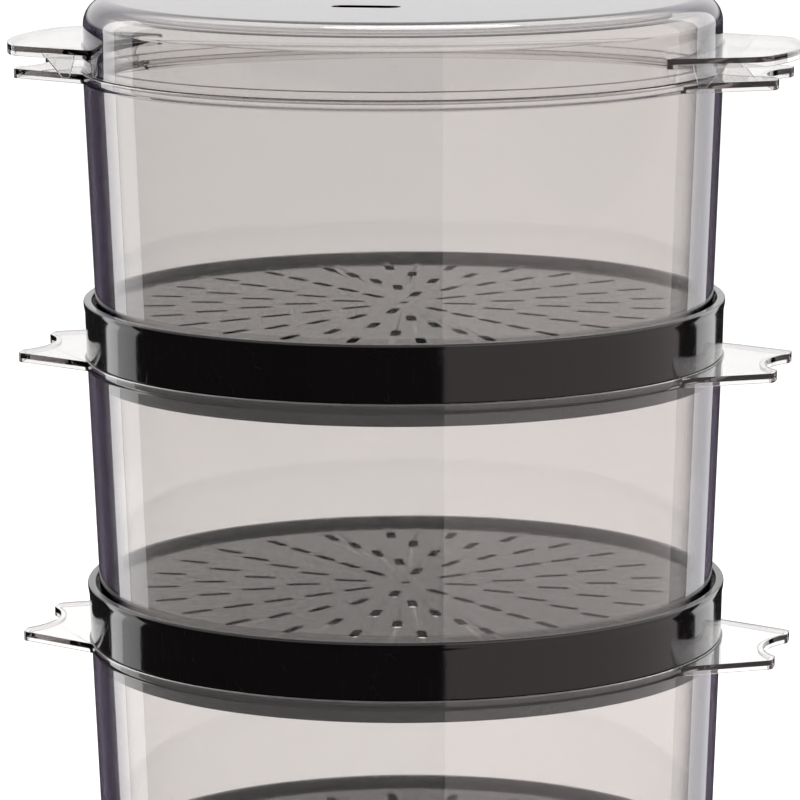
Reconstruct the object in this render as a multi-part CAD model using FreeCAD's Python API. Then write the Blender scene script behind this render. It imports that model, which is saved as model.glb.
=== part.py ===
import FreeCAD, Part
import math
import os

# Electric food steamer: a heated water base, a drip tray and three clear bowls on black steam trays.
# All sizes are in millimetres. The origin is on the surface it stands on, under the middle of the base.
# The bowl handles lie along X, the timer knob faces -Y and +Z is up.

# Stack of bowls and steam trays
tier_count = 3
tier_pitch = 100.4              # from one bowl rim to the next
drip_rim_up = 9.0               # the drip tray's rim above the top of the base

# Clear bowls
bowl_rim_r = 111.5              # outside, at the rim
bowl_draft = 0.0396             # how much the radius shrinks for each millimetre down
bowl_wall = 2.2
bowl_bead_out = 0.6             # bead round the rim
bowl_bead_h = 2.4
bowl_bead_slope = 0.6           # height of the slope under the bead
bowl_rim_chamfer = 0.4
nest_gap = 0.8                  # radial room between a skirt and the wall that it drops into

# Handles of the bowls
handle_root_in = 11.5           # the root lies inside the wall, this much inside the rim's radius
handle_root_w = 43.1            # half width at the root
handle_reach = 22.5             # tip beyond the rim
handle_tip_w = 25.0
handle_notch_w = 17.5           # half width of the hollow in the outer end
handle_notch_depth = 6.3
handle_plate_t = 2.0
handle_lip_h = 3.3              # plate and turned-down lip together
handle_lip_t = 1.8
handle_drop = 0.3               # the plate lies this much under the rim
handle_corner_r = 1.6

# Black steam trays, whose radii are given beyond the bowl's rim
tray_lip_out = 1.0
tray_body_out = 0.5
tray_foot_out = 0.1
tray_lip_h = 3.6
tray_lip_slope = 0.8            # height of the slope under the lip
tray_edge_chamfer = 0.6
tray_height = 19.9              # visible ring, from its top plane to the shoulder on the rim below
tray_wall = 2.4
tray_skirt_depth = 8.0          # below the shoulder, inside the piece underneath
tray_skirt_wall = 2.3
tray_channel_depth = 8.0        # the bowl stands in this channel
tray_channel_out_gap = 1.1      # round the bowl's wall, at the channel's mouth
tray_channel_in_gap = 0.6       # inside the bowl's foot
tray_channel_lead = 0.8         # depth of the slope at the channel's mouth
tray_web = 2.2
tray_inner_wall = 2.0
tray_floor_drop = 2.5           # floor below the top plane
tray_floor_t = 2.2
slot_w = 3.4
slot_l = 12.0
slot_rows = 5
slot_first_r = 20.0
slot_row_step = 16.5
slot_first_count = 8
slot_count_step = 4

# Lid
lid_height = 25.0               # above the rim of the top bowl
lid_side_in = 0.3               # side wall at the foot of the shoulder, inside the rim's radius
lid_wall = 2.2
lid_shoulder_r = 9.0
lid_skirt_depth = 3.5
lid_skirt_wall = 2.0
wing_top = 8.8                  # top of the lid's grips above the rim
wing_root_in = 13.5             # the root lies inside the lid's wall
wing_root_w = 49.4
wing_corner_out = 19.5          # beyond the rim
wing_corner_w = 36.0
wing_reach = 28.3
wing_t = 2.0
wing_lip_h = 3.5
wing_lip_t = 1.8
wing_corner_r = 6.0
rib_gap = 0.8                   # between a guide rib and the side of the bowl's handle
rib_t = 1.6
rib_foot_in = 2.0               # foot of a guide rib, inside the rim's radius
rib_foot_l = 2.5
rib_top_in = 4.5
rib_top_out = 8.0
rib_below_rim = 1.6
vent_l = 24.0
vent_w = 4.0
vent_y = 52.0

# Base housing
foot_h = 4.0
base_h = 84.0                   # housing without its feet
base_top_out = 4.0              # radius at the top, beyond the bowl's rim
base_flare = 3.5                # how much wider it is at the bottom
base_wall = 2.6
dry_space_h = 26.0              # under the tank
tank_floor_t = 2.6
front_flat_in = 10.5            # control panel, inside the housing's top radius
front_flat_up = 8.0             # lower edge of the panel above that of the housing
rear_flat_in = 7.0              # flat where the mains cord enters, inside the bottom radius
rear_flat_up = 4.0
rear_flat_over = 11.0           # above the axis of the mains inlet
box_half_x = 47.0               # dry box behind the control panel
box_depth = 27.0
box_top_gap = 3.6               # between its roof and the drip tray
box_wall = 2.4
fill_out = 15.5                 # outer end of each filling spout, beyond the housing's top radius
fill_half_w = 20.0
fill_top_drop = 8.5             # below the top of the housing
fill_h = 25.5
fill_wall = 2.4
fill_corner_r = 6.0
band_top_drop = 1.5
band_h = 5.0
band_t = 0.9
band_inset = 0.6

# Bottom cover and feet
cover_t = 2.6
cover_gap = 0.4
cover_vent_count = 9
cover_vent_l = 26.0
cover_vent_w = 3.0
cover_vent_pitch = 7.0
foot_r = 9.0
foot_in = 19.0                  # the feet's circle inside the housing's bottom radius
foot_angles = (55.0, 125.0, 235.0, 305.0)
foot_stem_r = 3.0
foot_chamfer = 0.8
cover_screw_in = 27.0           # the screws' circle inside the housing's bottom radius
cover_screw_angles = (35.0, 145.0, 215.0, 325.0)
boss_r = 4.0
screw_r = 1.5
screw_clear = 0.1
screw_head_r = 3.2
screw_head_h = 1.8
screw_cross_l = 4.0
screw_cross_w = 0.8
screw_cross_depth = 1.0
screw_depth = 9.0               # hole for a cover screw
screw_end_gap = 1.0             # between a screw's end and the bottom of its hole

# Heater under the tank
heater_plug_r = 34.0
heater_plug_up = 4.0            # its face above the underside of the tank's floor
heater_hole_gap = 2.0
heater_flange_out = 10.0        # beyond the plug
heater_flange_t = 2.5
heater_edge_r = 2.0
heater_dish_rim = 8.0           # width of the flat rim round the dished face
heater_dish_depth = 1.5
seal_t = 2.0
seal_bore_gap = 0.6
element_ring_in = 7.0           # middle of the ring inside the plug's radius
element_r = 3.3
element_gap_deg = 25.0          # half of the opening between the element's ends
element_pin_deg = 30.0          # where the pins leave it, from the same middle line
element_pin_r = 1.6
element_pin_l = 9.0
braze_gap = 0.1
clamp_overlap = 6.0             # of the clamp ring on the flange
clamp_out = 9.0                 # beyond the flange
clamp_t = 2.0
clamp_screw_out = 5.0           # the screws' circle beyond the flange
clamp_screw_angles = (30.0, 150.0, 270.0)
clamp_boss_r = 3.4
clamp_hole_floor = 0.5          # left between a clamp screw's hole and the tank's floor
clamp_screw_grip = 3.4          # length of thread beyond the clamp
thermostat_r = 11.0
thermostat_h = 8.4
thermostat_waist_z = 1.8        # height of the narrower foot of its case
thermostat_waist_in = 1.5
thermostat_tab_l = 8.0
thermostat_tab_w = 5.0
thermostat_tab_t = 0.8
thermostat_tab_z = 0.6
fuse_r = 2.0
fuse_l = 14.0
fuse_out = 6.5                  # its axis beyond the thermostat's case
fuse_strap_w = 5.0
fuse_strap_t = 0.8

# Steam ring that stands in the tank round the heater
steam_ring_out = 14.2           # beyond the heater's plug
steam_ring_wall = 2.2
steam_ring_h = 28.0
steam_ring_mouth_in = 8.2       # how much narrower the mouth is
steam_ring_mouth_h = 6.0        # height of the cone at its top
steam_ring_notch_count = 6
steam_ring_notch_w = 10.0
steam_ring_notch_h = 4.0

# Drip tray
drip_wall = 2.2
drip_flange_in = 0.5            # inside the housing's top radius
drip_flange_t = 2.2
drip_pan_drop = 8.0             # underside of the pan below the top of the housing
drip_pan_t = 2.2
chimney_r = 30.0
chimney_wall = 2.0
chimney_flare = 2.0             # how much wider its foot is
chimney_h = 21.0                # above the underside of the pan
chimney_roof_rise = 2.0
chimney_edge = 2.0              # slope round the roof's edge
chimney_slot_count = 12
chimney_slot_w = 3.6
chimney_slot_h = 9.0
chimney_slot_drop = 4.0         # top of the slots under the roof's edge

# Timer, its knob and the panel round it
panel_axis_up = 41.0            # the knob's axis above the housing's lower edge
timer_half_w = 22.0
timer_half_h = 19.0
timer_in = 6.0                  # its front behind the panel's face
timer_depth = 14.5
timer_corner_r = 3.0
bracket_half_h = 8.5
bracket_t = 1.2
bracket_screw_out = 6.5         # screws beyond the timer's sides
bracket_end = 4.5               # beyond its screws
bracket_hole_gap = 0.3          # round the bush
panel_boss_r = 3.6
shaft_r = 3.0
shaft_fit = 0.05                # radial running clearance
shaft_in_timer = 5.0
shaft_end_gap = 0.3
bush_wall = 2.0
bush_flange_out = 2.0
bush_flange_t = 1.0
dial_r = 27.5
dial_t = 1.2
dial_tick_count = 12
dial_sweep_deg = 300.0          # from off at the top, clockwise to the longest time
dial_tick_in = 1.5              # from the dial's edge
dial_tick_l = 4.0
dial_tick_w = 0.8
dial_tick_depth = 0.4
knob_gap = 0.6
knob_skirt_r = 20.5
knob_skirt_t = 2.4
knob_grip_in = 4.0              # the grip's radius inside the skirt's
knob_depth = 11.8
knob_flute_count = 16
knob_flute_r = 1.6
knob_flute_depth = 1.0
knob_wall = 2.0
knob_edge_r = 1.6
knob_hub_wall = 2.5
knob_fit = 0.02                 # round the shaft that it is pushed on
pointer_w = 2.2
pointer_h = 0.7
pointer_in_r = 9.0
pointer_out_gap = 0.6           # from the edge of the knob's skirt
bell_r = 15.0
bell_depth = 4.4
bell_t = 0.8
bell_edge_r = 2.6
bell_post_r = 2.0
bell_gap = 1.0                  # between the timer's back and the bell's rim
bell_post_gap = 0.5             # how far the post comes through the bell

# Pilot lamp and water gauge
lamp_x = 38.0
lamp_up = 17.0                  # above the knob's axis
lens_r = 4.5
lens_proud = 1.2
lens_flange_out = 1.5
lens_flange_t = 1.0
lens_edge_r = 0.8
lens_gap = 0.5                  # between the lens and the lamp behind it
fit_gap = 0.15                  # round trim that is pushed into a hole in a wall
lamp_holder_wall = 1.25
lamp_holder_l = 9.0
lamp_r = 3.0
lamp_l = 14.0
lead_r = 0.8
lead_half_pitch = 1.2
lead_from_back = 1.5            # from the timer's back
gauge_x = -38.0
gauge_in = 11.0                 # its axis behind the panel's face
gauge_tube_r = 6.0
gauge_tube_wall = 1.2
gauge_foot_drop = 5.0           # below the axis of its pipe
gauge_top_gap = 4.0             # under the dry box's roof
gauge_floor_t = 1.4
gauge_pipe_r = 2.9
gauge_pipe_wall = 1.0
gauge_pipe_up = 4.4             # axis above the tank's floor
gauge_pipe_proud = 1.0          # how far the pipe comes into the tank
window_w = 7.0
window_end_in = 2.0             # its ends inside those of the gauge
window_rim = 1.8
window_rim_t = 1.0
float_gap = 0.5                 # between the float and its tube
float_h = 7.0
float_rest_gap = 0.3
float_chamfer = 0.8

# Mains inlet and inner wiring
gland_up = 13.0                 # above the housing's lower edge
gland_bore_r = 3.7
gland_wall = 2.6
gland_flange_out = 2.7
gland_flange_t = 2.6
gland_inner_out = 2.1
gland_inner_t = 2.0
gland_edge_r = 1.2
block_in = 24.0                 # its middle inside the rear flat
block_half_l = 15.0
block_half_w = 7.0
block_h = 10.0
block_pole_pitch = 8.0
block_hole_r = 1.7
block_screw_y = 3.5             # screw holes either side of the block's middle
wire_r = 1.3
wire_bend_share = 0.45          # of the shorter run, taken by each bend
wire_end_gap = 0.1              # between a wire's end and the tab or pin that it meets
wire_end_l = 7.0                # straight run to a pin
wire_above_cover = 3.2
wire_pin_drop = 2.9             # below the element's ring, where a wire meets its pin

# Cutters
over = 1.0                      # how far a cutter runs past a face
near = 0.1                      # how close an edge lies to the plane that it is picked on

# Heights that follow
base_top_z = foot_h + base_h
drip_rim_z = base_top_z + drip_rim_up
drip_pan_z = base_top_z - drip_pan_drop
chimney_top_z = drip_pan_z + chimney_h
band_z1 = base_top_z - band_top_drop
band_z0 = band_z1 - band_h
fill_z1 = base_top_z - fill_top_drop
fill_z0 = fill_z1 - fill_h
box_top_z = drip_pan_z - box_top_gap - box_wall
tank_floor_z = foot_h + dry_space_h
heater_plug_top = tank_floor_z + heater_plug_up
flange_top = tank_floor_z - seal_t
flange_low = flange_top - heater_flange_t
front_flat_z0 = foot_h + front_flat_up
front_flat_z1 = box_top_z + box_wall
panel_axis_z = foot_h + panel_axis_up
lamp_z = panel_axis_z + lamp_up
gauge_pipe_z = tank_floor_z + tank_floor_t + gauge_pipe_up
gauge_bottom_z = gauge_pipe_z - gauge_foot_drop
gauge_top_z = box_top_z - gauge_top_gap
window_z0 = gauge_bottom_z + window_end_in
window_z1 = gauge_top_z - window_end_in
gland_z = foot_h + gland_up
rear_flat_z0 = foot_h + rear_flat_up
rear_flat_z1 = gland_z + rear_flat_over
block_z = foot_h + cover_t
wire_z = block_z + block_h / 2

# Radii that follow
tray_lip_r = bowl_rim_r + tray_lip_out
tray_body_r = bowl_rim_r + tray_body_out
tray_foot_r = bowl_rim_r + tray_foot_out
lid_side_r = bowl_rim_r - lid_side_in
base_top_r = bowl_rim_r + base_top_out
base_bottom_r = base_top_r + base_flare
drip_flange_r = base_top_r - drip_flange_in
foot_circle_r = base_bottom_r - foot_in
cover_screw_circle_r = base_bottom_r - cover_screw_in
heater_hole_r = heater_plug_r + heater_hole_gap
heater_flange_r = heater_plug_r + heater_flange_out
seal_bore_r = heater_plug_r + seal_bore_gap
element_ring_r = heater_plug_r - element_ring_in
clamp_bore_r = heater_flange_r - clamp_overlap
clamp_r = heater_flange_r + clamp_out
clamp_screw_circle_r = heater_flange_r + clamp_screw_out
steam_ring_r = heater_plug_r + steam_ring_out
steam_ring_mouth_r = steam_ring_r - steam_ring_mouth_in
bush_r = shaft_r + bush_wall
bush_flange_r = bush_r + bush_flange_out
knob_grip_r = knob_skirt_r - knob_grip_in
lens_flange_r = lens_r + lens_flange_out
lamp_holder_r = lens_flange_r + fit_gap + lamp_holder_wall
float_r = gauge_tube_r - gauge_tube_wall - float_gap
gland_waist_r = gland_bore_r + gland_wall
gland_flange_r = gland_waist_r + gland_flange_out
gland_inner_r = gland_waist_r + gland_inner_out

# Places along X and Y that follow
handle_root_x = bowl_rim_r - handle_root_in
handle_tip_x = bowl_rim_r + handle_reach
wing_root_x = bowl_rim_r - wing_root_in
wing_corner_x = bowl_rim_r + wing_corner_out
wing_tip_x = bowl_rim_r + wing_reach
rib_foot_x = bowl_rim_r - rib_foot_in
rib_top_in_x = bowl_rim_r - rib_top_in
rib_top_out_x = bowl_rim_r + rib_top_out
fill_x = base_top_r + fill_out
bracket_screw_x = timer_half_w + bracket_screw_out
bracket_half_w = bracket_screw_x + bracket_end
front_flat_y = front_flat_in - base_top_r
panel_back_y = front_flat_y + base_wall
box_back_y = front_flat_y + box_depth
timer_front_y = front_flat_y + timer_in
timer_back_y = timer_front_y + timer_depth
gauge_y = front_flat_y + gauge_in
knob_back_y = front_flat_y - dial_t - knob_gap
knob_face_y = knob_back_y - knob_depth
rear_flat_y = base_bottom_r - rear_flat_in
block_y = rear_flat_y - block_in
fuse_y = thermostat_r + fuse_out

up = FreeCAD.Vector(0, 0, 1)
forward = FreeCAD.Vector(0, -1, 0)
backward = FreeCAD.Vector(0, 1, 0)


# Plain shapes

def point(x, y, z):
    return FreeCAD.Vector(x, y, z)


def cylinder(radius, height, base, direction=up):
    return Part.makeCylinder(radius, height, base, direction)


def hole(radius, depth, base, direction=up):
    """Cutter for a round hole that runs a little past both of its ends."""
    return cylinder(radius, depth + 2 * over, base - direction * over, direction)


def tube(outer_r, inner_r, height, base, direction=up):
    return cylinder(outer_r, height, base, direction).cut(hole(inner_r, height, base, direction))


def block(x0, x1, y0, y1, z0, z1):
    return Part.makeBox(x1 - x0, y1 - y0, z1 - z0, point(x0, y0, z0))


def turned(profile):
    """Turn a closed outline of (radius, height) pairs round the Z axis."""
    corners = [point(r, 0, z) for r, z in profile]
    wire = Part.makePolygon(corners + corners[:1])
    return Part.Face(wire).revolve(point(0, 0, 0), up, 360)


def polar(radius, degrees, z=0.0):
    angle = math.radians(degrees)
    return point(radius * math.cos(angle), radius * math.sin(angle), z)


def slot_cutter(length, width, base, depth, direction_deg=0.0):
    """Cutter for a slot with round ends, its middle on base and its length along direction_deg."""
    half = (length - width) / 2
    body = block(-half, half, -width / 2, width / 2, -over, depth + over)
    for end in (-half, half):
        body = body.fuse(hole(width / 2, depth, point(end, 0, 0)))
    body.rotate(point(0, 0, 0), up, direction_deg)
    body.translate(base)
    return body.removeSplitter()


def edges_where(shape, test):
    """The edges of a shape whose bounding box passes a test."""
    return [edge for edge in shape.Edges if test(edge.BoundBox)]


def round_upright_edges(shape, radius, min_x, at_y):
    """Round the upright edges that lie beyond min_x at at_y on either side."""
    def wanted(box):
        upright = box.ZLength > near and box.XLength < near and box.YLength < near
        return upright and box.XMin > min_x and abs(abs(box.YMin) - at_y) < near
    return shape.makeFillet(radius, edges_where(shape, wanted))


def pocket_under(plate, plate_t, lip_t):
    """Cutter that hollows a plate from below and leaves a lip round it."""
    underside = min(plate.Faces, key=lambda face: face.CenterOfMass.z)
    depth = plate.BoundBox.ZLength - plate_t
    pocket = underside.makeOffset2D(-lip_t).extrude(up * (depth + over))
    pocket.translate(up * -over)
    return pocket


def both_sides(shape):
    """The shape and its copy turned half round the Z axis."""
    other = shape.copy()
    other.rotate(point(0, 0, 0), up, 180)
    return [shape, other]


def spread_round(shape, count):
    """Copies of a shape, evenly spread round the Z axis."""
    copies = []
    for i in range(count):
        turned_copy = shape.copy()
        turned_copy.rotate(point(0, 0, 0), up, 360.0 * i / count)
        copies.append(turned_copy)
    return copies


# Places in the stack

def rim_z(tier):
    """Height of the rim of bowl number tier, where tier 0 is the drip tray's rim."""
    return drip_rim_z + tier * tier_pitch


def bowl_r(below_rim):
    """Outside radius of a bowl at a depth below its rim."""
    return bowl_rim_r - bowl_draft * below_rim


bowl_length = tier_pitch - tray_height + tray_channel_depth
bowl_bore_r = bowl_rim_r - bowl_wall
skirt_r = bowl_bore_r - nest_gap
channel_out_r = bowl_r(tier_pitch - tray_height) + tray_channel_out_gap
channel_in_r = bowl_r(bowl_length) - bowl_wall - tray_channel_in_gap


# Clear bowls

def handle_outline(z):
    """Outline of a handle: slanting sides and a round hollow in the outer end."""
    root_near = point(handle_root_x, -handle_root_w, z)
    tip_near = point(handle_tip_x, -handle_tip_w, z)
    notch_near = point(handle_tip_x, -handle_notch_w, z)
    notch_mid = point(handle_tip_x - handle_notch_depth, 0, z)
    notch_far = point(handle_tip_x, handle_notch_w, z)
    tip_far = point(handle_tip_x, handle_tip_w, z)
    root_far = point(handle_root_x, handle_root_w, z)
    edges = [
        Part.LineSegment(root_near, tip_near).toShape(),
        Part.LineSegment(tip_near, notch_near).toShape(),
        Part.Arc(notch_near, notch_mid, notch_far).toShape(),
        Part.LineSegment(notch_far, tip_far).toShape(),
        Part.LineSegment(tip_far, root_far).toShape(),
        Part.LineSegment(root_far, root_near).toShape(),
    ]
    return Part.Face(Part.Wire(edges))


def bowl_handle(rim):
    """One handle plate with its turned-down lip, on the +X side."""
    plate = handle_outline(rim - handle_drop).extrude(up * -handle_lip_h)
    plate = round_upright_edges(plate, handle_corner_r, handle_tip_x - near, handle_tip_w)
    return plate.cut(pocket_under(plate, handle_plate_t, handle_lip_t))


def bowl(tier):
    rim = rim_z(tier)
    foot = rim - bowl_length
    foot_out_r = bowl_r(bowl_length)
    bead_r = bowl_rim_r + bowl_bead_out
    wall = turned([
        (foot_out_r - bowl_wall, foot),
        (foot_out_r, foot),
        (bowl_r(bowl_bead_h + bowl_bead_slope), rim - bowl_bead_h - bowl_bead_slope),
        (bead_r, rim - bowl_bead_h),
        (bead_r, rim - bowl_rim_chamfer),
        (bead_r - bowl_rim_chamfer, rim),
        (bowl_bore_r, rim),
    ])
    inside = turned([
        (0, foot),
        (foot_out_r - bowl_wall, foot),
        (bowl_bore_r, rim),
        (0, rim),
    ])
    handle = bowl_handle(rim).cut(inside)
    return wall.fuse(both_sides(handle)).removeSplitter()


# Black steam trays

def steam_tray(tier):
    """Steam tray that stands on the rim below tier and carries the bowl of that tier."""
    foot = rim_z(tier - 1)
    top = foot + tray_height
    channel = top - tray_channel_depth
    floor_top = top - tray_floor_drop
    body = turned([
        (skirt_r - tray_skirt_wall, foot - tray_skirt_depth),
        (skirt_r, foot - tray_skirt_depth),
        (skirt_r, foot),
        (tray_foot_r, foot),
        (tray_body_r, top - tray_lip_h - tray_lip_slope),
        (tray_lip_r, top - tray_lip_h),
        (tray_lip_r, top - tray_edge_chamfer),
        (tray_lip_r - tray_edge_chamfer, top),
        (channel_out_r + tray_channel_lead / 2, top),
        (channel_out_r, top - tray_channel_lead),
        (channel_out_r, channel),
        (channel_in_r, channel),
        (channel_in_r, floor_top),
        (0, floor_top),
        (0, floor_top - tray_floor_t),
        (channel_in_r - tray_inner_wall, floor_top - tray_floor_t),
        (channel_in_r - tray_inner_wall, channel - tray_web),
        (tray_body_r - tray_wall, channel - tray_web),
        (tray_foot_r - tray_wall, foot + tray_web),
        (skirt_r - tray_skirt_wall, foot + tray_web),
    ])
    floor_low = floor_top - tray_floor_t
    cutters = [hole(slot_w / 2, tray_floor_t, point(0, 0, floor_low))]
    for row in range(slot_rows):
        radius = slot_first_r + row * slot_row_step
        count = slot_first_count + row * slot_count_step
        for i in range(count):
            angle = 360.0 * (i + 0.5 * (row % 2)) / count
            cutters.append(slot_cutter(slot_l, slot_w, polar(radius, angle, floor_low), tray_floor_t, angle))
    return body.cut(Part.makeCompound(cutters))


# Lid

def wing_outline(z):
    """Outline of a grip: slanting sides and a long round end."""
    near_root = point(wing_root_x, -wing_root_w, z)
    near_corner = point(wing_corner_x, -wing_corner_w, z)
    tip = point(wing_tip_x, 0, z)
    far_corner = point(wing_corner_x, wing_corner_w, z)
    far_root = point(wing_root_x, wing_root_w, z)
    edges = [
        Part.LineSegment(near_root, near_corner).toShape(),
        Part.Arc(near_corner, tip, far_corner).toShape(),
        Part.LineSegment(far_corner, far_root).toShape(),
        Part.LineSegment(far_root, near_root).toShape(),
    ]
    return Part.Face(Part.Wire(edges))


def guide_rib(rim):
    """Rib under a grip that drops beside the bowl's handle, on the +Y side."""
    handle_slope = (handle_root_w - handle_tip_w) / (handle_tip_x - handle_root_x)
    inner_y = handle_root_w - handle_slope * (rib_foot_x - handle_root_x) + rib_gap
    high = rim + wing_top - wing_t
    low = rim - rib_below_rim
    corners = [
        point(rib_top_in_x, inner_y, high),
        point(rib_foot_x, inner_y, low),
        point(rib_foot_x + rib_foot_l, inner_y, low),
        point(rib_top_out_x, inner_y, high),
    ]
    return Part.Face(Part.makePolygon(corners + corners[:1])).extrude(point(0, rib_t, 0))


def lid_wing(rim):
    """One grip of the lid on the +X side, with its lip and two guide ribs."""
    plate = wing_outline(rim + wing_top).extrude(up * -wing_lip_h)
    plate = round_upright_edges(plate, wing_corner_r, wing_root_x + over, wing_corner_w)
    wing = plate.cut(pocket_under(plate, wing_t, wing_lip_t))
    rib = guide_rib(rim)
    return wing.fuse([rib, rib.mirror(point(0, 0, 0), point(0, 1, 0))])


def round_cover(low_r, high_r, shoulder_r, low_z, top_z):
    """Solid with a flat top and one round shoulder."""
    edge_r = high_r - shoulder_r
    centre_z = top_z - shoulder_r
    diagonal = shoulder_r * math.sqrt(0.5)
    shoulder_mid = point(edge_r + diagonal, 0, centre_z + diagonal)
    edges = [
        Part.LineSegment(point(0, 0, low_z), point(low_r, 0, low_z)).toShape(),
        Part.LineSegment(point(low_r, 0, low_z), point(high_r, 0, centre_z)).toShape(),
        Part.Arc(point(high_r, 0, centre_z), shoulder_mid, point(edge_r, 0, top_z)).toShape(),
        Part.LineSegment(point(edge_r, 0, top_z), point(0, 0, top_z)).toShape(),
        Part.LineSegment(point(0, 0, top_z), point(0, 0, low_z)).toShape(),
    ]
    return Part.Face(Part.Wire(edges)).revolve(point(0, 0, 0), up, 360)


def lid():
    rim = rim_z(tier_count)
    top = rim + lid_height
    inner_low_r = bowl_rim_r - lid_wall
    inner_top = top - lid_wall
    outer = round_cover(bowl_rim_r, lid_side_r, lid_shoulder_r, rim, top)
    inner = round_cover(inner_low_r, lid_side_r - lid_wall, lid_shoulder_r - lid_wall, rim, inner_top)
    skirt_in_r = skirt_r - lid_skirt_wall
    skirt = turned([
        (skirt_in_r, rim - lid_skirt_depth),
        (skirt_r, rim - lid_skirt_depth),
        (skirt_r, rim),
        (inner_low_r + near, rim),
        (inner_low_r + near, rim + lid_wall),
        (skirt_in_r, rim + lid_wall),
    ])
    wing = lid_wing(rim).cut(inner)
    body = outer.cut(inner).fuse([skirt] + both_sides(wing)).removeSplitter()
    vents = [slot_cutter(vent_l, vent_w, point(0, y, inner_top), lid_wall) for y in (-vent_y, vent_y)]
    return body.cut(vents)


# Base

def base_r(z):
    """Outside radius of the housing at a height."""
    share = (z - foot_h) / (base_top_z - foot_h)
    return base_bottom_r + (base_top_r - base_bottom_r) * share


def base_cone(inset, z0, z1):
    """Solid that fills the housing, set in from its outside."""
    return turned([(0, z0), (base_r(z0) - inset, z0), (base_r(z1) - inset, z1), (0, z1)])


def without_flats(shape, inset):
    """Cut the flat of the control panel and the flat of the mains inlet."""
    reach = 2 * base_bottom_r
    front = block(-reach, reach, -reach, front_flat_y + inset, front_flat_z0 - inset, front_flat_z1 + inset)
    rear = block(-reach, reach, rear_flat_y - inset, reach, rear_flat_z0 - inset, rear_flat_z1 + inset)
    return shape.cut([front, rear])


def outer_corners(shape, at_x):
    """The upright edges of a block at its outer end."""
    return edges_where(shape, lambda box: box.XMin > at_x - near and box.ZLength > near)


def fill_spout():
    """Outside and hollow of the filling spout on the +X side."""
    wall_in_x = base_r(fill_z1) - base_wall
    outside = block(wall_in_x, fill_x, -fill_half_w, fill_half_w, fill_z0, fill_z1)
    outside = outside.makeFillet(fill_corner_r, outer_corners(outside, fill_x))
    inner_w = fill_half_w - fill_wall
    inner_x = fill_x - fill_wall
    low = fill_z0 + fill_wall
    mouth = block(base_r(fill_z1), inner_x, -inner_w, inner_w, low, fill_z1 + over)
    mouth = mouth.makeFillet(fill_corner_r - fill_wall, outer_corners(mouth, inner_x))
    passage = block(wall_in_x - base_wall, base_r(fill_z1) + over, -inner_w, inner_w,
                    low, fill_z1 - fill_wall)
    return outside, mouth.fuse(passage)


def housing_bosses():
    """Bosses for the screws, and the holes in them."""
    bosses = []
    holes = []
    cover_top = foot_h + cover_t
    for angle in cover_screw_angles:
        at = polar(cover_screw_circle_r, angle, cover_top)
        bosses.append(cylinder(boss_r, tank_floor_z - cover_top, at))
        holes.append(cylinder(screw_r + screw_clear, screw_depth, at))
    for angle in clamp_screw_angles:
        at = polar(clamp_screw_circle_r, angle, flange_low)
        bosses.append(cylinder(clamp_boss_r, tank_floor_z - flange_low, at))
        holes.append(cylinder(screw_r + screw_clear, tank_floor_z - flange_low - clamp_hole_floor, at))
    boss_l = timer_front_y - bracket_t - panel_back_y
    for x in (-bracket_screw_x, bracket_screw_x):
        at = point(x, panel_back_y, panel_axis_z)
        bosses.append(cylinder(panel_boss_r, boss_l, at, backward))
        holes.append(hole(screw_r + screw_clear, boss_l, at, backward))
    return bosses, holes


def housing_openings():
    """Holes in the walls for the heater, the panel's parts, the gauge pipe and the mains inlet."""
    panel = [
        (bush_r, 0.0, panel_axis_z),
        (lens_r, lamp_x, lamp_z),
    ]
    holes = [hole(heater_hole_r, tank_floor_t, point(0, 0, tank_floor_z))]
    for radius, x, z in panel:
        holes.append(hole(radius + fit_gap, base_wall, point(x, front_flat_y, z), backward))
    half_w = window_w / 2 + fit_gap
    holes.append(block(gauge_x - half_w, gauge_x + half_w, front_flat_y - over, panel_back_y + over,
                       window_z0 - fit_gap, window_z1 + fit_gap))
    pipe_at = point(gauge_x, box_back_y, gauge_pipe_z)
    holes.append(hole(gauge_pipe_r + fit_gap, box_wall, pipe_at, backward))
    gland_at = point(0, rear_flat_y - base_wall, gland_z)
    holes.append(hole(gland_waist_r + fit_gap, base_wall, gland_at, backward))
    return holes


def base_housing():
    reach = 2 * base_bottom_r
    outer = without_flats(base_cone(0, foot_h, base_top_z), 0)
    inner = without_flats(base_cone(base_wall, foot_h, base_top_z), base_wall)
    floor = inner.common(block(-reach, reach, -reach, reach, tank_floor_z, tank_floor_z + tank_floor_t))
    box_out_x = box_half_x + box_wall
    box_outside = block(-box_out_x, box_out_x, -reach, box_back_y + box_wall,
                        tank_floor_z, box_top_z + box_wall)
    box_inside = block(-box_half_x, box_half_x, -reach, box_back_y, foot_h, box_top_z)
    body = outer.cut(inner).fuse([floor, inner.common(box_outside)]).cut(inner.common(box_inside))
    outside, hollow = fill_spout()
    room = base_cone(base_wall / 2, foot_h, base_top_z)
    spouts = [shape.cut(room) for shape in both_sides(outside)]
    body = body.fuse(spouts).cut(both_sides(hollow))
    bosses, boss_holes = housing_bosses()
    body = body.fuse(bosses).cut(boss_holes + housing_openings())
    groove = base_cone(-over, band_z0, band_z1).cut(base_cone(band_inset, band_z0 - over, band_z1 + over))
    return body.cut(groove).removeSplitter()


def trim_band():
    outside = base_cone(band_inset - band_t, band_z0 + fit_gap, band_z1 - fit_gap)
    return outside.cut(base_cone(band_inset, band_z0 - over, band_z1 + over))


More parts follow.
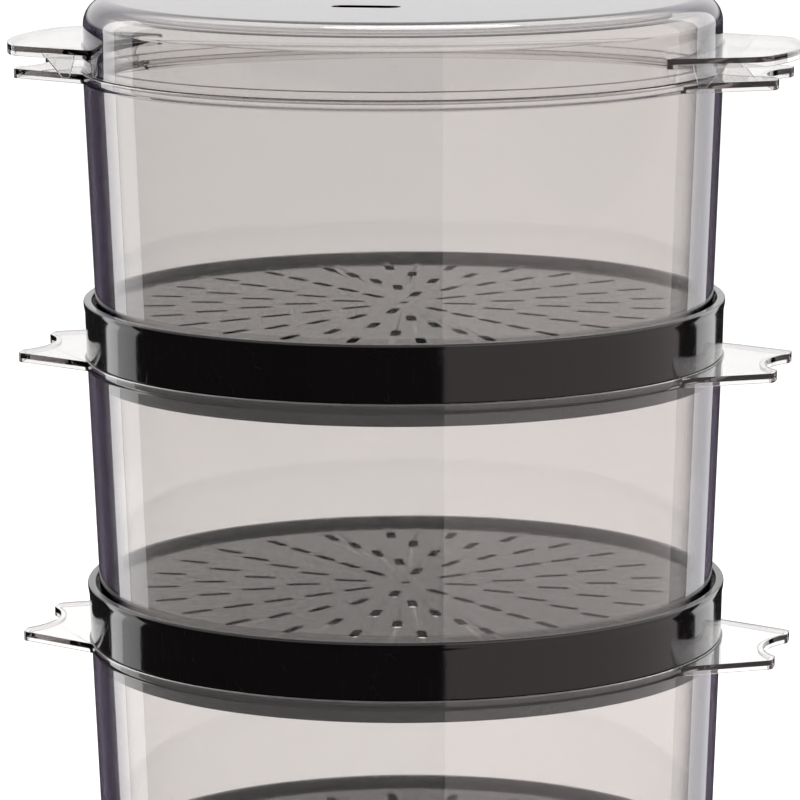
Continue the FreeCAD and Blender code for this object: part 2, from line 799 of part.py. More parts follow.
def bottom_cover():
    radius = base_r(foot_h) - base_wall - cover_gap
    plate = without_flats(cylinder(radius, cover_t, point(0, 0, foot_h)), base_wall + cover_gap)
    holes = []
    for angle in foot_angles:
        holes.append(hole(foot_stem_r + fit_gap, cover_t, polar(foot_circle_r, angle, foot_h)))
    for angle in cover_screw_angles:
        holes.append(hole(screw_r + screw_clear, cover_t, polar(cover_screw_circle_r, angle, foot_h)))
    for i in range(cover_vent_count):
        y = (i - (cover_vent_count - 1) / 2) * cover_vent_pitch
        holes.append(slot_cutter(cover_vent_l, cover_vent_w, point(0, y, foot_h), cover_t))
    return plate.cut(holes)


def foot(index):
    at = polar(foot_circle_r, foot_angles[index])
    pad = cylinder(foot_r, foot_h, at)
    pad = pad.makeChamfer(foot_chamfer, edges_where(pad, lambda box: box.ZMax < near))
    return pad.fuse(cylinder(foot_stem_r, cover_t, at + up * foot_h)).removeSplitter()


def screw(at, direction, grip):
    """Screw whose head lies against at, with its shank along direction."""
    head_at = at - direction * screw_head_h
    head = cylinder(screw_head_r, screw_head_h, head_at, direction)
    half_l = screw_cross_l / 2
    half_w = screw_cross_w / 2
    cross = block(-half_l, half_l, -half_w, half_w, -over, screw_cross_depth)
    cross = cross.fuse(block(-half_w, half_w, -half_l, half_l, -over, screw_cross_depth))
    cross.Placement = FreeCAD.Placement(head_at, FreeCAD.Rotation(up, direction))
    return head.fuse(cylinder(screw_r, grip, at, direction)).cut(cross)


def cover_screws():
    grip = cover_t + screw_depth - screw_end_gap
    places = [polar(cover_screw_circle_r, angle, foot_h) for angle in cover_screw_angles]
    return Part.makeCompound([screw(at, up, grip) for at in places])


def clamp_screws():
    grip = clamp_t + clamp_screw_grip
    places = [polar(clamp_screw_circle_r, angle, flange_low - clamp_t) for angle in clamp_screw_angles]
    return Part.makeCompound([screw(at, up, grip) for at in places])


def timer_screws():
    boss_l = timer_front_y - bracket_t - panel_back_y
    grip = bracket_t + boss_l - screw_end_gap
    group = []
    for x in (-bracket_screw_x, bracket_screw_x):
        group.append(screw(point(x, timer_front_y, panel_axis_z), forward, grip))
    return Part.makeCompound(group)


# Heater

def heater_plate():
    flange = cylinder(heater_flange_r, heater_flange_t, point(0, 0, flange_low))
    plug = cylinder(heater_plug_r, heater_plug_top - flange_top, point(0, 0, flange_top))
    plug = plug.makeFillet(heater_edge_r, edges_where(plug, lambda box: box.ZMin > heater_plug_top - near))
    dish_at = point(0, 0, heater_plug_top - heater_dish_depth)
    return flange.fuse(plug).cut(cylinder(heater_plug_r - heater_dish_rim, heater_dish_depth + over, dish_at))


def heater_seal():
    return tube(heater_flange_r, seal_bore_r, seal_t, point(0, 0, flange_top))


def heating_element():
    centre_z = flange_low - element_r - braze_gap
    start = -90.0 + element_gap_deg
    sweep = 360.0 - 2 * element_gap_deg
    ring = Part.makeTorus(element_ring_r, element_r, point(0, 0, 0), up, 0, 360, sweep)
    ring.rotate(point(0, 0, 0), up, start)
    ring.translate(up * centre_z)
    pins = []
    for side in (-1, 1):
        at = polar(element_ring_r, -90.0 + side * element_pin_deg, centre_z)
        pins.append(cylinder(element_pin_r, element_pin_l, at, up * -1.0))
    return ring.fuse(pins)


def heater_clamp():
    ring = tube(clamp_r, clamp_bore_r, clamp_t, point(0, 0, flange_low - clamp_t))
    holes = []
    for angle in clamp_screw_angles:
        at = polar(clamp_screw_circle_r, angle, flange_low - clamp_t)
        holes.append(hole(screw_r + screw_clear, clamp_t, at))
    return ring.cut(holes)


def thermostat():
    low = flange_low - thermostat_h
    case = cylinder(thermostat_r, thermostat_h, point(0, 0, low))
    waist_r = thermostat_r - thermostat_waist_in
    case = case.cut(tube(thermostat_r + over, waist_r, thermostat_waist_z, point(0, 0, low)))
    tab_z = low + thermostat_tab_z
    reach = thermostat_r + thermostat_tab_l
    half = thermostat_tab_w / 2
    tabs = block(-reach, reach, -half, half, tab_z, tab_z + thermostat_tab_t)
    return case.fuse(tabs).removeSplitter()


def thermal_fuse():
    """Capsule that lies under the flange, and the strap that holds it there."""
    centre_z = flange_low - fuse_r - braze_gap
    along = point(1, 0, 0)
    capsule = cylinder(fuse_r, fuse_l, point(-fuse_l / 2, fuse_y, centre_z), along)
    half = fuse_strap_w / 2
    out = fuse_r + fuse_strap_t
    strap = block(-half, half, fuse_y - out, fuse_y + out, centre_z - out, flange_low)
    room = block(-half - over, half + over, fuse_y - fuse_r, fuse_y + fuse_r, centre_z, flange_low)
    strap = strap.cut([room, hole(fuse_r, fuse_strap_w, point(-half, fuse_y, centre_z), along)])
    return Part.makeCompound([capsule, strap])


def steam_ring():
    low = tank_floor_z + tank_floor_t
    top = low + steam_ring_h
    shoulder = top - steam_ring_mouth_h
    inner = steam_ring_r - steam_ring_wall
    body = turned([
        (inner, low),
        (steam_ring_r, low),
        (steam_ring_r, shoulder),
        (steam_ring_mouth_r + steam_ring_wall, top),
        (steam_ring_mouth_r, top),
        (inner, shoulder - steam_ring_wall / 2),
    ])
    half_w = steam_ring_notch_w / 2
    notch = block(inner - over, steam_ring_r + over, -half_w, half_w, low - over, low + steam_ring_notch_h)
    return body.cut(spread_round(notch, steam_ring_notch_count))


# Drip tray

def drip_tray():
    pan_top = drip_pan_z + drip_pan_t
    wall_in = bowl_bore_r
    wall_out = wall_in + drip_wall
    pan = turned([
        (0, drip_pan_z),
        (wall_out, drip_pan_z),
        (wall_out, base_top_z),
        (drip_flange_r, base_top_z),
        (drip_flange_r, base_top_z + drip_flange_t),
        (wall_out, base_top_z + drip_flange_t),
        (wall_out, drip_rim_z),
        (wall_in, drip_rim_z),
        (wall_in, pan_top),
        (0, pan_top),
    ])
    roof_r = chimney_r - chimney_wall
    edge_z = chimney_top_z - chimney_edge
    chimney = turned([
        (0, pan_top - near),
        (chimney_r + chimney_flare, pan_top - near),
        (chimney_r, edge_z),
        (chimney_r - chimney_edge, chimney_top_z),
        (0, chimney_top_z + chimney_roof_rise),
    ])
    flue = turned([
        (0, drip_pan_z - over),
        (roof_r, drip_pan_z - over),
        (roof_r, edge_z - chimney_wall / 2),
        (roof_r - chimney_edge, chimney_top_z - chimney_wall),
        (0, chimney_top_z + chimney_roof_rise - chimney_wall),
    ])
    slot_z1 = chimney_top_z - chimney_slot_drop
    half_w = chimney_slot_w / 2
    slot = block(roof_r - chimney_wall, chimney_r + 2 * chimney_flare, -half_w, half_w,
                 slot_z1 - chimney_slot_h, slot_z1)
    return pan.fuse(chimney).cut([flue] + spread_round(slot, chimney_slot_count)).removeSplitter()


# Timer and knob

def timer_body():
    case = block(-timer_half_w, timer_half_w, timer_front_y, timer_back_y,
                 panel_axis_z - timer_half_h, panel_axis_z + timer_half_h)
    case = case.makeFillet(timer_corner_r, edges_where(case, lambda box: box.YLength > timer_depth - near))
    at = point(0, timer_front_y - over, panel_axis_z)
    return case.cut(cylinder(shaft_r + shaft_fit, shaft_in_timer + over, at, backward))


def timer_bracket():
    front_y = timer_front_y - bracket_t
    plate = block(-bracket_half_w, bracket_half_w, front_y, timer_front_y,
                  panel_axis_z - bracket_half_h, panel_axis_z + bracket_half_h)
    holes = [hole(bush_flange_r + bracket_hole_gap, bracket_t, point(0, front_y, panel_axis_z), backward)]
    for x in (-bracket_screw_x, bracket_screw_x):
        holes.append(hole(screw_r + screw_clear, bracket_t, point(x, front_y, panel_axis_z), backward))
    return plate.cut(holes)


def timer_bell():
    rim_y = timer_back_y + bell_gap
    top_y = rim_y + bell_depth
    cup = cylinder(bell_r, bell_depth, point(0, rim_y, panel_axis_z), backward)
    cup = cup.makeFillet(bell_edge_r, edges_where(cup, lambda box: box.YMin > top_y - near))
    room_top_y = top_y - bell_t
    room_at = point(0, rim_y - over, panel_axis_z)
    room = cylinder(bell_r - bell_t, room_top_y - rim_y + over, room_at, backward)
    room = room.makeFillet(bell_edge_r - bell_t, edges_where(room, lambda box: box.YMin > room_top_y - near))
    post_l = bell_gap + bell_depth + bell_post_gap
    post = cylinder(bell_post_r, post_l, point(0, timer_back_y, panel_axis_z), backward)
    return cup.cut(room).fuse(post)


def shaft_bush():
    bore = shaft_r + shaft_fit
    sleeve = tube(bush_r, bore, base_wall + dial_t, point(0, front_flat_y - dial_t, panel_axis_z), backward)
    flange = tube(bush_flange_r, bore, bush_flange_t, point(0, panel_back_y, panel_axis_z), backward)
    return sleeve.fuse(flange)


def dial_plate():
    face_y = front_flat_y - dial_t
    plate = tube(dial_r, bush_r + fit_gap, dial_t, point(0, face_y, panel_axis_z), backward)
    half_w = dial_tick_w / 2
    tick_top = dial_r - dial_tick_in
    ticks = []
    for i in range(dial_tick_count):
        tick = block(-half_w, half_w, face_y - over, face_y + dial_tick_depth,
                     tick_top - dial_tick_l, tick_top)
        tick.rotate(point(0, 0, 0), backward, dial_sweep_deg * i / (dial_tick_count - 1))
        tick.translate(up * panel_axis_z)
        ticks.append(tick)
    return plate.cut(ticks)


def timer_shaft():
    start_y = timer_front_y + shaft_in_timer - shaft_end_gap
    end_y = knob_face_y + knob_wall
    return cylinder(shaft_r, start_y - end_y, point(0, start_y, panel_axis_z), forward)


def timer_knob():
    at = point(0, knob_back_y, panel_axis_z)
    skirt = cylinder(knob_skirt_r, knob_skirt_t, at, forward)
    grip = cylinder(knob_grip_r, knob_depth, at, forward)
    grip = grip.makeFillet(knob_edge_r, edges_where(grip, lambda box: box.YMax < knob_face_y + near))
    skirt_face_y = knob_back_y - knob_skirt_t
    flute_circle_r = knob_grip_r + knob_flute_r - knob_flute_depth
    flutes = []
    for i in range(knob_flute_count):
        angle = 2 * math.pi * (i + 0.5) / knob_flute_count
        x = flute_circle_r * math.sin(angle)
        z = panel_axis_z + flute_circle_r * math.cos(angle)
        flutes.append(cylinder(knob_flute_r, knob_depth, point(x, skirt_face_y, z), forward))
    pointer = block(-pointer_w / 2, pointer_w / 2, skirt_face_y - pointer_h, knob_back_y - pointer_h,
                    panel_axis_z + pointer_in_r, panel_axis_z + knob_skirt_r - pointer_out_gap)
    room_l = knob_depth - knob_wall
    room = cylinder(knob_grip_r - knob_flute_depth - knob_wall, room_l + over, at - forward * over, forward)
    hub = tube(shaft_r + knob_hub_wall, shaft_r + knob_fit, room_l, at, forward)
    return skirt.fuse([grip.cut(flutes), pointer]).cut(room).fuse(hub).removeSplitter()


# Pilot lamp and water gauge

def lamp_lens():
    at = point(lamp_x, panel_back_y, lamp_z)
    face_y = front_flat_y - lens_proud
    stem = cylinder(lens_r, base_wall + lens_proud, at, forward)
    stem = stem.makeFillet(lens_edge_r, edges_where(stem, lambda box: box.YMax < face_y + near))
    return stem.fuse(cylinder(lens_flange_r, lens_flange_t, at, backward))


def lamp_holder():
    at = point(lamp_x, panel_back_y, lamp_z)
    body = tube(lamp_holder_r, lamp_r + fit_gap, lamp_holder_l, at, backward)
    seat = cylinder(lens_flange_r + fit_gap, lens_flange_t + fit_gap + over, at + forward * over, backward)
    return body.cut(seat)


def pilot_lamp():
    return cylinder(lamp_r, lamp_l, point(lamp_x, panel_back_y + lens_flange_t + lens_gap, lamp_z), backward)


def lamp_leads():
    """Two short leads from the side of the timer to the lamp."""
    lamp_side = math.sqrt(lamp_r ** 2 - lead_half_pitch ** 2)
    length = lamp_x - lamp_side - timer_half_w - wire_end_gap
    group = []
    for z in (lamp_z - lead_half_pitch, lamp_z + lead_half_pitch):
        at = point(timer_half_w, timer_back_y - lead_from_back, z)
        group.append(cylinder(lead_r, length, at, point(1, 0, 0)))
    return Part.makeCompound(group)


def gauge_window():
    half = window_w / 2
    pane = block(gauge_x - half, gauge_x + half, front_flat_y, panel_back_y, window_z0, window_z1)
    rim = block(gauge_x - half - window_rim, gauge_x + half + window_rim, panel_back_y,
                panel_back_y + window_rim_t, window_z0 - window_rim, window_z1 + window_rim)
    return pane.fuse(rim)


def gauge_chamber():
    """Upright tube behind the window, with a pipe at its foot that leads into the tank."""
    inner = gauge_tube_r - gauge_tube_wall
    height = gauge_top_z - gauge_bottom_z
    well = cylinder(gauge_tube_r, height, point(gauge_x, gauge_y, gauge_bottom_z))
    pipe_at = point(gauge_x, gauge_y, gauge_pipe_z)
    pipe_l = box_back_y + box_wall + gauge_pipe_proud - gauge_y
    pipe = cylinder(gauge_pipe_r, pipe_l, pipe_at, backward)
    hollow = cylinder(inner, height, point(gauge_x, gauge_y, gauge_bottom_z + gauge_floor_t))
    bore = cylinder(gauge_pipe_r - gauge_pipe_wall, pipe_l + over, pipe_at, backward)
    return well.fuse(pipe).cut([hollow, bore])


def gauge_float():
    low = gauge_bottom_z + gauge_floor_t + float_rest_gap
    body = cylinder(float_r, float_h, point(gauge_x, gauge_y, low))
    return body.makeChamfer(float_chamfer, edges_where(body, lambda box: box.ZLength < near))


# Mains inlet and wiring

def cord_gland():
    inner_y = rear_flat_y - base_wall
    waist = cylinder(gland_waist_r, base_wall, point(0, inner_y, gland_z), backward)
    outside = cylinder(gland_flange_r, gland_flange_t, point(0, rear_flat_y, gland_z), backward)
    face_y = rear_flat_y + gland_flange_t
    outside = outside.makeFillet(gland_edge_r, edges_where(outside, lambda box: box.YMin > face_y - near))
    inside_at = point(0, inner_y - gland_inner_t, gland_z)
    inside = cylinder(gland_inner_r, gland_inner_t, inside_at, backward)
    bore = hole(gland_bore_r, gland_inner_t + base_wall + gland_flange_t, inside_at, backward)
    return waist.fuse([outside, inside]).cut(bore)


def terminal_block():
    front_y = block_y - block_half_w
    body = block(-block_half_l, block_half_l, front_y, block_y + block_half_w, block_z, block_z + block_h)
    holes = []
    for pole in (-1, 0, 1):
        x = pole * block_pole_pitch
        holes.append(hole(block_hole_r, 2 * block_half_w, point(x, front_y, wire_z), backward))
        for y in (block_y - block_screw_y, block_y + block_screw_y):
            holes.append(cylinder(block_hole_r, block_h, point(x, y, wire_z)))
    return body.cut(holes)


def bent_tube(points, radius):
    """Round wire along straight runs joined by tangent arcs."""
    points = [point(*p) for p in points]
    edges = []
    start = points[0]
    for i in range(1, len(points) - 1):
        corner = points[i]
        before = points[i - 1] - corner
        after = points[i + 1] - corner
        reach = wire_bend_share * min(before.Length, after.Length)
        before.normalize()
        after.normalize()
        arc_start = corner + before * reach
        arc_end = corner + after * reach
        middle = before + after
        half = before.getAngle(after) / 2
        arc_r = reach * math.tan(half)
        middle.normalize()
        arc_mid = corner + middle * (arc_r / math.sin(half) - arc_r)
        edges.append(Part.LineSegment(start, arc_start).toShape())
        edges.append(Part.Arc(arc_start, arc_mid, arc_end).toShape())
        start = arc_end
    edges.append(Part.LineSegment(start, points[-1]).toShape())
    path = Part.Wire(edges)
    section = Part.Wire(Part.makeCircle(radius, points[0], points[1] - points[0]))
    return path.makePipeShell([section], True, False)


def inner_wires():
    """Mains leads from the terminal block and the timer to the heater, its cut-out and its clamp."""
    block_front = block_y - block_half_w
    pin_x = element_ring_r * math.sin(math.radians(element_pin_deg))
    pin_y = -element_ring_r * math.cos(math.radians(element_pin_deg))
    pin_z = flange_low - 2 * element_r - braze_gap - wire_pin_drop
    pin_reach = element_pin_r + wire_end_gap
    tab_z = flange_low - thermostat_h + thermostat_tab_z + thermostat_tab_t / 2
    tab_x = thermostat_r + thermostat_tab_l - thermostat_tab_w / 2
    tab_reach = thermostat_tab_w / 2 + wire_end_gap
    timer_low = panel_axis_z - timer_half_h - wire_end_gap
    timer_y = timer_front_y + timer_depth / 2
    earth_y = (clamp_bore_r + clamp_r) / 2
    earth_z = flange_low - clamp_t - wire_end_gap
    pole = block_pole_pitch
    low = block_z + wire_above_cover
    routes = {
        "wire_neutral": [
            (-pole, block_front, wire_z),
            (-pole - 12, block_front - 19, wire_z),
            (-34, 40, low + 1),
            (-37, 8, low),
            (-30, -20, low + 2),
            (-pin_x - wire_end_l, pin_y, pin_z),
            (-pin_x - pin_reach, pin_y, pin_z),
        ],
        "wire_live": [
            (pole, block_front, wire_z),
            (pole + 7, block_front - 21, wire_z),
            (19, 40, wire_z + 1),
            (18, 24, wire_z + 2),
            (tab_x, 11, tab_z),
            (tab_x, tab_reach, tab_z),
        ],
        "wire_earth": [
            (0, block_front, wire_z),
            (0, block_front - 13, wire_z),
            (1.5, block_front - 25, wire_z),
            (1.5, earth_y, wire_z + 3),
            (1.5, earth_y, earth_z),
        ],
        "wire_switched": [
            (-tab_x, -tab_reach, tab_z),
            (-tab_x, -10, tab_z),
            (-tab_x - 1, -26, low),
            (-17, -50, low),
            (-15, timer_y + 20, low + 2),
            (-14, timer_y, low + 4),
            (-14, timer_y, timer_low),
        ],
        "wire_heater": [
            (14, timer_y, timer_low),
            (14, timer_y, low + 4),
            (14, timer_y + 20, low + 2),
            (pin_x, -48, low + 3),
            (pin_x, pin_y - wire_end_l, pin_z),
            (pin_x, pin_y - pin_reach, pin_z),
        ],
    }
    return {name: bent_tube(route, wire_r) for name, route in routes.items()}


# All pieces

def all_pieces():
    pieces = {
        "base_housing": base_housing(),
        "trim_band": trim_band(),
        "bottom_cover": bottom_cover(),
        "cover_screws": cover_screws(),
        "heater_plate": heater_plate(),
        "heater_seal": heater_seal(),
        "heating_element": heating_element(),
        "heater_clamp": heater_clamp(),
        "clamp_screws": clamp_screws(),
        "thermostat": thermostat(),
        "thermal_fuse": thermal_fuse(),
        "steam_ring": steam_ring(),
        "timer_body": timer_body(),
        "timer_bracket": timer_bracket(),
        "timer_screws": timer_screws(),
        "timer_bell": timer_bell(),
        "shaft_bush": shaft_bush(),
        "dial_plate": dial_plate(),
        "timer_shaft": timer_shaft(),
        "timer_knob": timer_knob(),
        "lamp_lens": lamp_lens(),
        "lamp_holder": lamp_holder(),
        "pilot_lamp": pilot_lamp(),
        "lamp_leads": lamp_leads(),
        "gauge_window": gauge_window(),
        "gauge_chamber": gauge_chamber(),
        "gauge_float": gauge_float(),
        "cord_gland": cord_gland(),
        "terminal_block": terminal_block(),
        "drip_tray": drip_tray(),
        "lid": lid(),
    }
    for index in range(len(foot_angles)):
        pieces["foot_%d" % (index + 1)] = foot(index)
    for tier in range(1, tier_count + 1):
        pieces["steam_tray_%d" % tier] = steam_tray(tier)
        pieces["bowl_%d" % tier] = bowl(tier)
    pieces.update(inner_wires())
    return pieces


def main():
    os.makedirs("parts", exist_ok=True)
    for name, shape in all_pieces().items():
        volume = shape.Volume
        print("%-16s %10.1f mm3, %d solids, valid %s" % (name, volume, len(shape.Solids), shape.isValid()))
        shape.exportStep(os.path.join("parts", name + ".step"))


main()
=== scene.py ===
import math

import bmesh
import bpy
from mathutils import Euler, Matrix, Quaternion, Vector


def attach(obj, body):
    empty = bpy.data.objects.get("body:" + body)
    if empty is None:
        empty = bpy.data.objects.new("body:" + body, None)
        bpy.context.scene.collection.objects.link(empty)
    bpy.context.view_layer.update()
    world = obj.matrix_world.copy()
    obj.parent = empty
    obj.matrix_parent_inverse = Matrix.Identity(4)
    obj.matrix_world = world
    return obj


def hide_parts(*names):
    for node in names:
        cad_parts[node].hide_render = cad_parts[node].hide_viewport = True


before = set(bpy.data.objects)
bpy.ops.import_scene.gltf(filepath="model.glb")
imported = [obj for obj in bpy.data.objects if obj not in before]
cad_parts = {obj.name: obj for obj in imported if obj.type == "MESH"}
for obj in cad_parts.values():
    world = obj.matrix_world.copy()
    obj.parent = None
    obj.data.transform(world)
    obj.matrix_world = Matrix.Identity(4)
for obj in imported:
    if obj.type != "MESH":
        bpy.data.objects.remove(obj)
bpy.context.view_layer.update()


scene = bpy.context.scene


# Node helpers

def newNode(tree, kind, **values):
    node = tree.nodes.new(kind)
    for key, value in values.items():
        setattr(node, key, value)
    return node


def setInputs(node, **values):
    for key, value in values.items():
        node.inputs[key.replace("_", " ")].default_value = value
    return node


def join(tree, source, target):
    tree.links.new(source, target)


def mapped(tree, source, low, high, first, last, **values):
    # The source's span from low to high, spread over first to last
    node = newNode(tree, "ShaderNodeMapRange", **values)
    setInputs(node, From_Min=low, From_Max=high, To_Min=first, To_Max=last)
    join(tree, source, node.inputs["Value"])
    return node.outputs["Result"]


def addScaled(tree, source, factor, base):
    node = newNode(tree, "ShaderNodeMath", operation="MULTIPLY_ADD")
    join(tree, source, node.inputs[0])
    node.inputs[1].default_value = factor
    join(tree, base, node.inputs[2])
    return node.outputs[0]


def newGroup(name, inputs, outputs):
    # Node group with float or vector inputs given as (name, kind, default)
    group = bpy.data.node_groups.new(name, "ShaderNodeTree")
    for label, kind, default in inputs:
        socket = group.interface.new_socket(name=label, in_out="INPUT", socket_type=kind)
        if default is not None:
            socket.default_value = default
    for label, kind in outputs:
        group.interface.new_socket(name=label, in_out="OUTPUT", socket_type=kind)
    entry = group.nodes.new("NodeGroupInput")
    leave = group.nodes.new("NodeGroupOutput")
    return group, entry, leave


def makeGrain():
    # Fine moulded grain: two noises of different size added together
    group, entry, leave = newGroup(
        "fineGrain",
        [("Place", "NodeSocketVector", None), ("Scale", "NodeSocketFloat", 600.0)],
        [("Height", "NodeSocketFloat"), ("Mask", "NodeSocketFloat")])
    fine = newNode(group, "ShaderNodeTexNoise")
    setInputs(fine, Detail=3.0, Roughness=0.6)
    coarse = newNode(group, "ShaderNodeTexNoise")
    setInputs(coarse, Detail=2.0, Roughness=0.5)
    smaller = newNode(group, "ShaderNodeMath", operation="MULTIPLY")
    smaller.inputs[1].default_value = 0.06
    join(group, entry.outputs["Place"], fine.inputs["Vector"])
    join(group, entry.outputs["Scale"], fine.inputs["Scale"])
    join(group, entry.outputs["Place"], coarse.inputs["Vector"])
    join(group, entry.outputs["Scale"], smaller.inputs[0])
    join(group, smaller.outputs[0], coarse.inputs["Scale"])
    join(group, fine.outputs["Fac"], leave.inputs["Height"])
    join(group, coarse.outputs["Fac"], leave.inputs["Mask"])
    return group


def makeScratches():
    # Hair-thin scratches in two directions, as a mask that is mostly nought
    group, entry, leave = newGroup(
        "hairScratches",
        [("Place", "NodeSocketVector", None), ("Scale", "NodeSocketFloat", 60.0)],
        [("Mask", "NodeSocketFloat")])
    masks = []
    for turn, stretch in (((0.3, 0.2, 0.5), (1.0, 9.0, 1.4)), ((1.1, 0.7, 2.1), (8.0, 1.0, 1.2))):
        mapping = newNode(group, "ShaderNodeMapping")
        mapping.inputs["Rotation"].default_value = turn
        mapping.inputs["Scale"].default_value = stretch
        join(group, entry.outputs["Place"], mapping.inputs["Vector"])
        cells = newNode(group, "ShaderNodeTexVoronoi", feature="DISTANCE_TO_EDGE")
        patches = newNode(group, "ShaderNodeTexNoise")
        setInputs(patches, Detail=1.0)
        for texture in (cells, patches):
            join(group, mapping.outputs["Vector"], texture.inputs["Vector"])
            join(group, entry.outputs["Scale"], texture.inputs["Scale"])
        both = newNode(group, "ShaderNodeMath", operation="MULTIPLY")
        join(group, mapped(group, cells.outputs["Distance"], 0.0, 0.012, 1.0, 0.0), both.inputs[0])
        join(group, mapped(group, patches.outputs["Fac"], 0.52, 0.62, 0.0, 1.0), both.inputs[1])
        masks.append(both)
    most = newNode(group, "ShaderNodeMath", operation="MAXIMUM")
    join(group, masks[0].outputs[0], most.inputs[0])
    join(group, masks[1].outputs[0], most.inputs[1])
    join(group, most.outputs[0], leave.inputs["Mask"])
    return group


def makeRanged():
    # Mix two values by a mask
    group, entry, leave = newGroup(
        "rangedValue",
        [("Mask", "NodeSocketFloat", 0.5), ("Low", "NodeSocketFloat", 0.1),
         ("High", "NodeSocketFloat", 0.2)],
        [("Value", "NodeSocketFloat")])
    spread = newNode(group, "ShaderNodeMapRange")
    setInputs(spread, From_Min=0.3, From_Max=0.7)
    join(group, entry.outputs["Mask"], spread.inputs["Value"])
    join(group, entry.outputs["Low"], spread.inputs["To Min"])
    join(group, entry.outputs["High"], spread.inputs["To Max"])
    join(group, spread.outputs["Result"], leave.inputs["Value"])
    return group


grainGroup = makeGrain()
scratchGroup = makeScratches()
rangedGroup = makeRanged()
print("node groups made")


# Materials

def newMaterial(name):
    material = bpy.data.materials.new(name)
    material.use_nodes = True
    tree = material.node_tree
    tree.nodes.clear()
    output = tree.nodes.new("ShaderNodeOutputMaterial")
    shader = tree.nodes.new("ShaderNodeBsdfPrincipled")
    place = tree.nodes.new("ShaderNodeTexCoord")
    return material, tree, output, shader, place.outputs["Object"]


def useGroup(tree, group, place=None, **values):
    node = tree.nodes.new("ShaderNodeGroup")
    node.node_tree = group
    if place is not None:
        join(tree, place, node.inputs["Place"])
    return setInputs(node, **values)


def twoColours(tree, mask, first, second):
    mix = newNode(tree, "ShaderNodeMix", data_type="RGBA")
    join(tree, mask, mix.inputs["Factor"])
    mix.inputs["A"].default_value = first + (1.0,)
    mix.inputs["B"].default_value = second + (1.0,)
    return mix.outputs["Result"]


def unevenGloss(tree, place, scale, low, high):
    # The grain of a surface and a roughness that wanders with it
    grain = useGroup(tree, grainGroup, place, Scale=scale)
    rough = useGroup(tree, rangedGroup, Low=low, High=high)
    join(tree, grain.outputs["Mask"], rough.inputs["Mask"])
    return grain, rough.outputs["Value"]


def addRelief(tree, height, strength, shader):
    relief = newNode(tree, "ShaderNodeBump")
    setInputs(relief, Strength=strength, Distance=0.0002)
    join(tree, height, relief.inputs["Height"])
    join(tree, relief.outputs["Normal"], shader.inputs["Normal"])


def solidMaterial(name, dark, light, roughLow, roughHigh, scale, bump, scratch=0.0, metal=0.0,
                  stretch=None):
    # Opaque material with grain, uneven gloss, a slightly uneven colour and hair scratches
    material, tree, output, shader, place = newMaterial(name)
    if stretch:
        mapping = newNode(tree, "ShaderNodeMapping")
        mapping.inputs["Scale"].default_value = stretch
        join(tree, place, mapping.inputs["Vector"])
        place = mapping.outputs["Vector"]
    grain, roughness = unevenGloss(tree, place, scale, roughLow, roughHigh)
    join(tree, twoColours(tree, grain.outputs["Mask"], dark, light), shader.inputs["Base Color"])
    height = grain.outputs["Height"]
    if scratch:
        lines = useGroup(tree, scratchGroup, place, Scale=scale * 0.1)
        height = addScaled(tree, lines.outputs["Mask"], -scratch, height)
        roughness = addScaled(tree, lines.outputs["Mask"], 0.25, roughness)
    join(tree, roughness, shader.inputs["Roughness"])
    addRelief(tree, height, bump, shader)
    shader.inputs["Metallic"].default_value = metal
    join(tree, shader.outputs["BSDF"], output.inputs["Surface"])
    return material


plasticIndex = 1.57
shadowLight = 0.75      # how much light a clear wall lets into its shadow


def clearMaterial(name, tint, absorb, strength, roughLow, roughHigh, bump, edge=None):
    # Clear plastic that darkens with depth and lets light through to what stands behind it; with an edge
    # colour, painted shade darkens the walls where they are seen edge-on
    material, tree, output, shader, place = newMaterial(name)
    roughness = unevenGloss(tree, place, 900.0, roughLow, roughHigh)[1]
    lines = useGroup(tree, scratchGroup, place, Scale=55.0)
    join(tree, addScaled(tree, lines.outputs["Mask"], 0.05, roughness), shader.inputs["Roughness"])
    flow = newNode(tree, "ShaderNodeTexNoise")
    setInputs(flow, Scale=38.0, Detail=1.0)
    join(tree, place, flow.inputs["Vector"])
    addRelief(tree, flow.outputs["Fac"], bump, shader)
    # Painted shade: the tint turns to the dark edge colour where a wall is seen edge-on
    if edge:
        facing = newNode(tree, "ShaderNodeLayerWeight")
        facing.inputs["Blend"].default_value = 0.5
        paintedEdgeShade = mapped(tree, facing.outputs["Facing"], 0.54, 0.72, 0.0, 1.0,
                      interpolation_type="SMOOTHSTEP")
        join(tree, twoColours(tree, paintedEdgeShade, tint, edge), shader.inputs["Base Color"])
    else:
        shader.inputs["Base Color"].default_value = tint + (1.0,)
    shader.inputs["Transmission Weight"].default_value = 1.0
    shader.inputs["IOR"].default_value = plasticIndex
    through = newNode(tree, "ShaderNodeBsdfTransparent")
    through.inputs["Color"].default_value = (shadowLight,) * 3 + (1.0,)
    kind = newNode(tree, "ShaderNodeLightPath")
    mix = newNode(tree, "ShaderNodeMixShader")
    join(tree, kind.outputs["Is Shadow Ray"], mix.inputs["Fac"])
    join(tree, shader.outputs["BSDF"], mix.inputs[1])
    join(tree, through.outputs["BSDF"], mix.inputs[2])
    join(tree, mix.outputs["Shader"], output.inputs["Surface"])
    haze = newNode(tree, "ShaderNodeVolumeAbsorption")
    haze.inputs["Color"].default_value = absorb + (1.0,)
    haze.inputs["Density"].default_value = strength
    join(tree, haze.outputs["Volume"], output.inputs["Volume"])
    return material
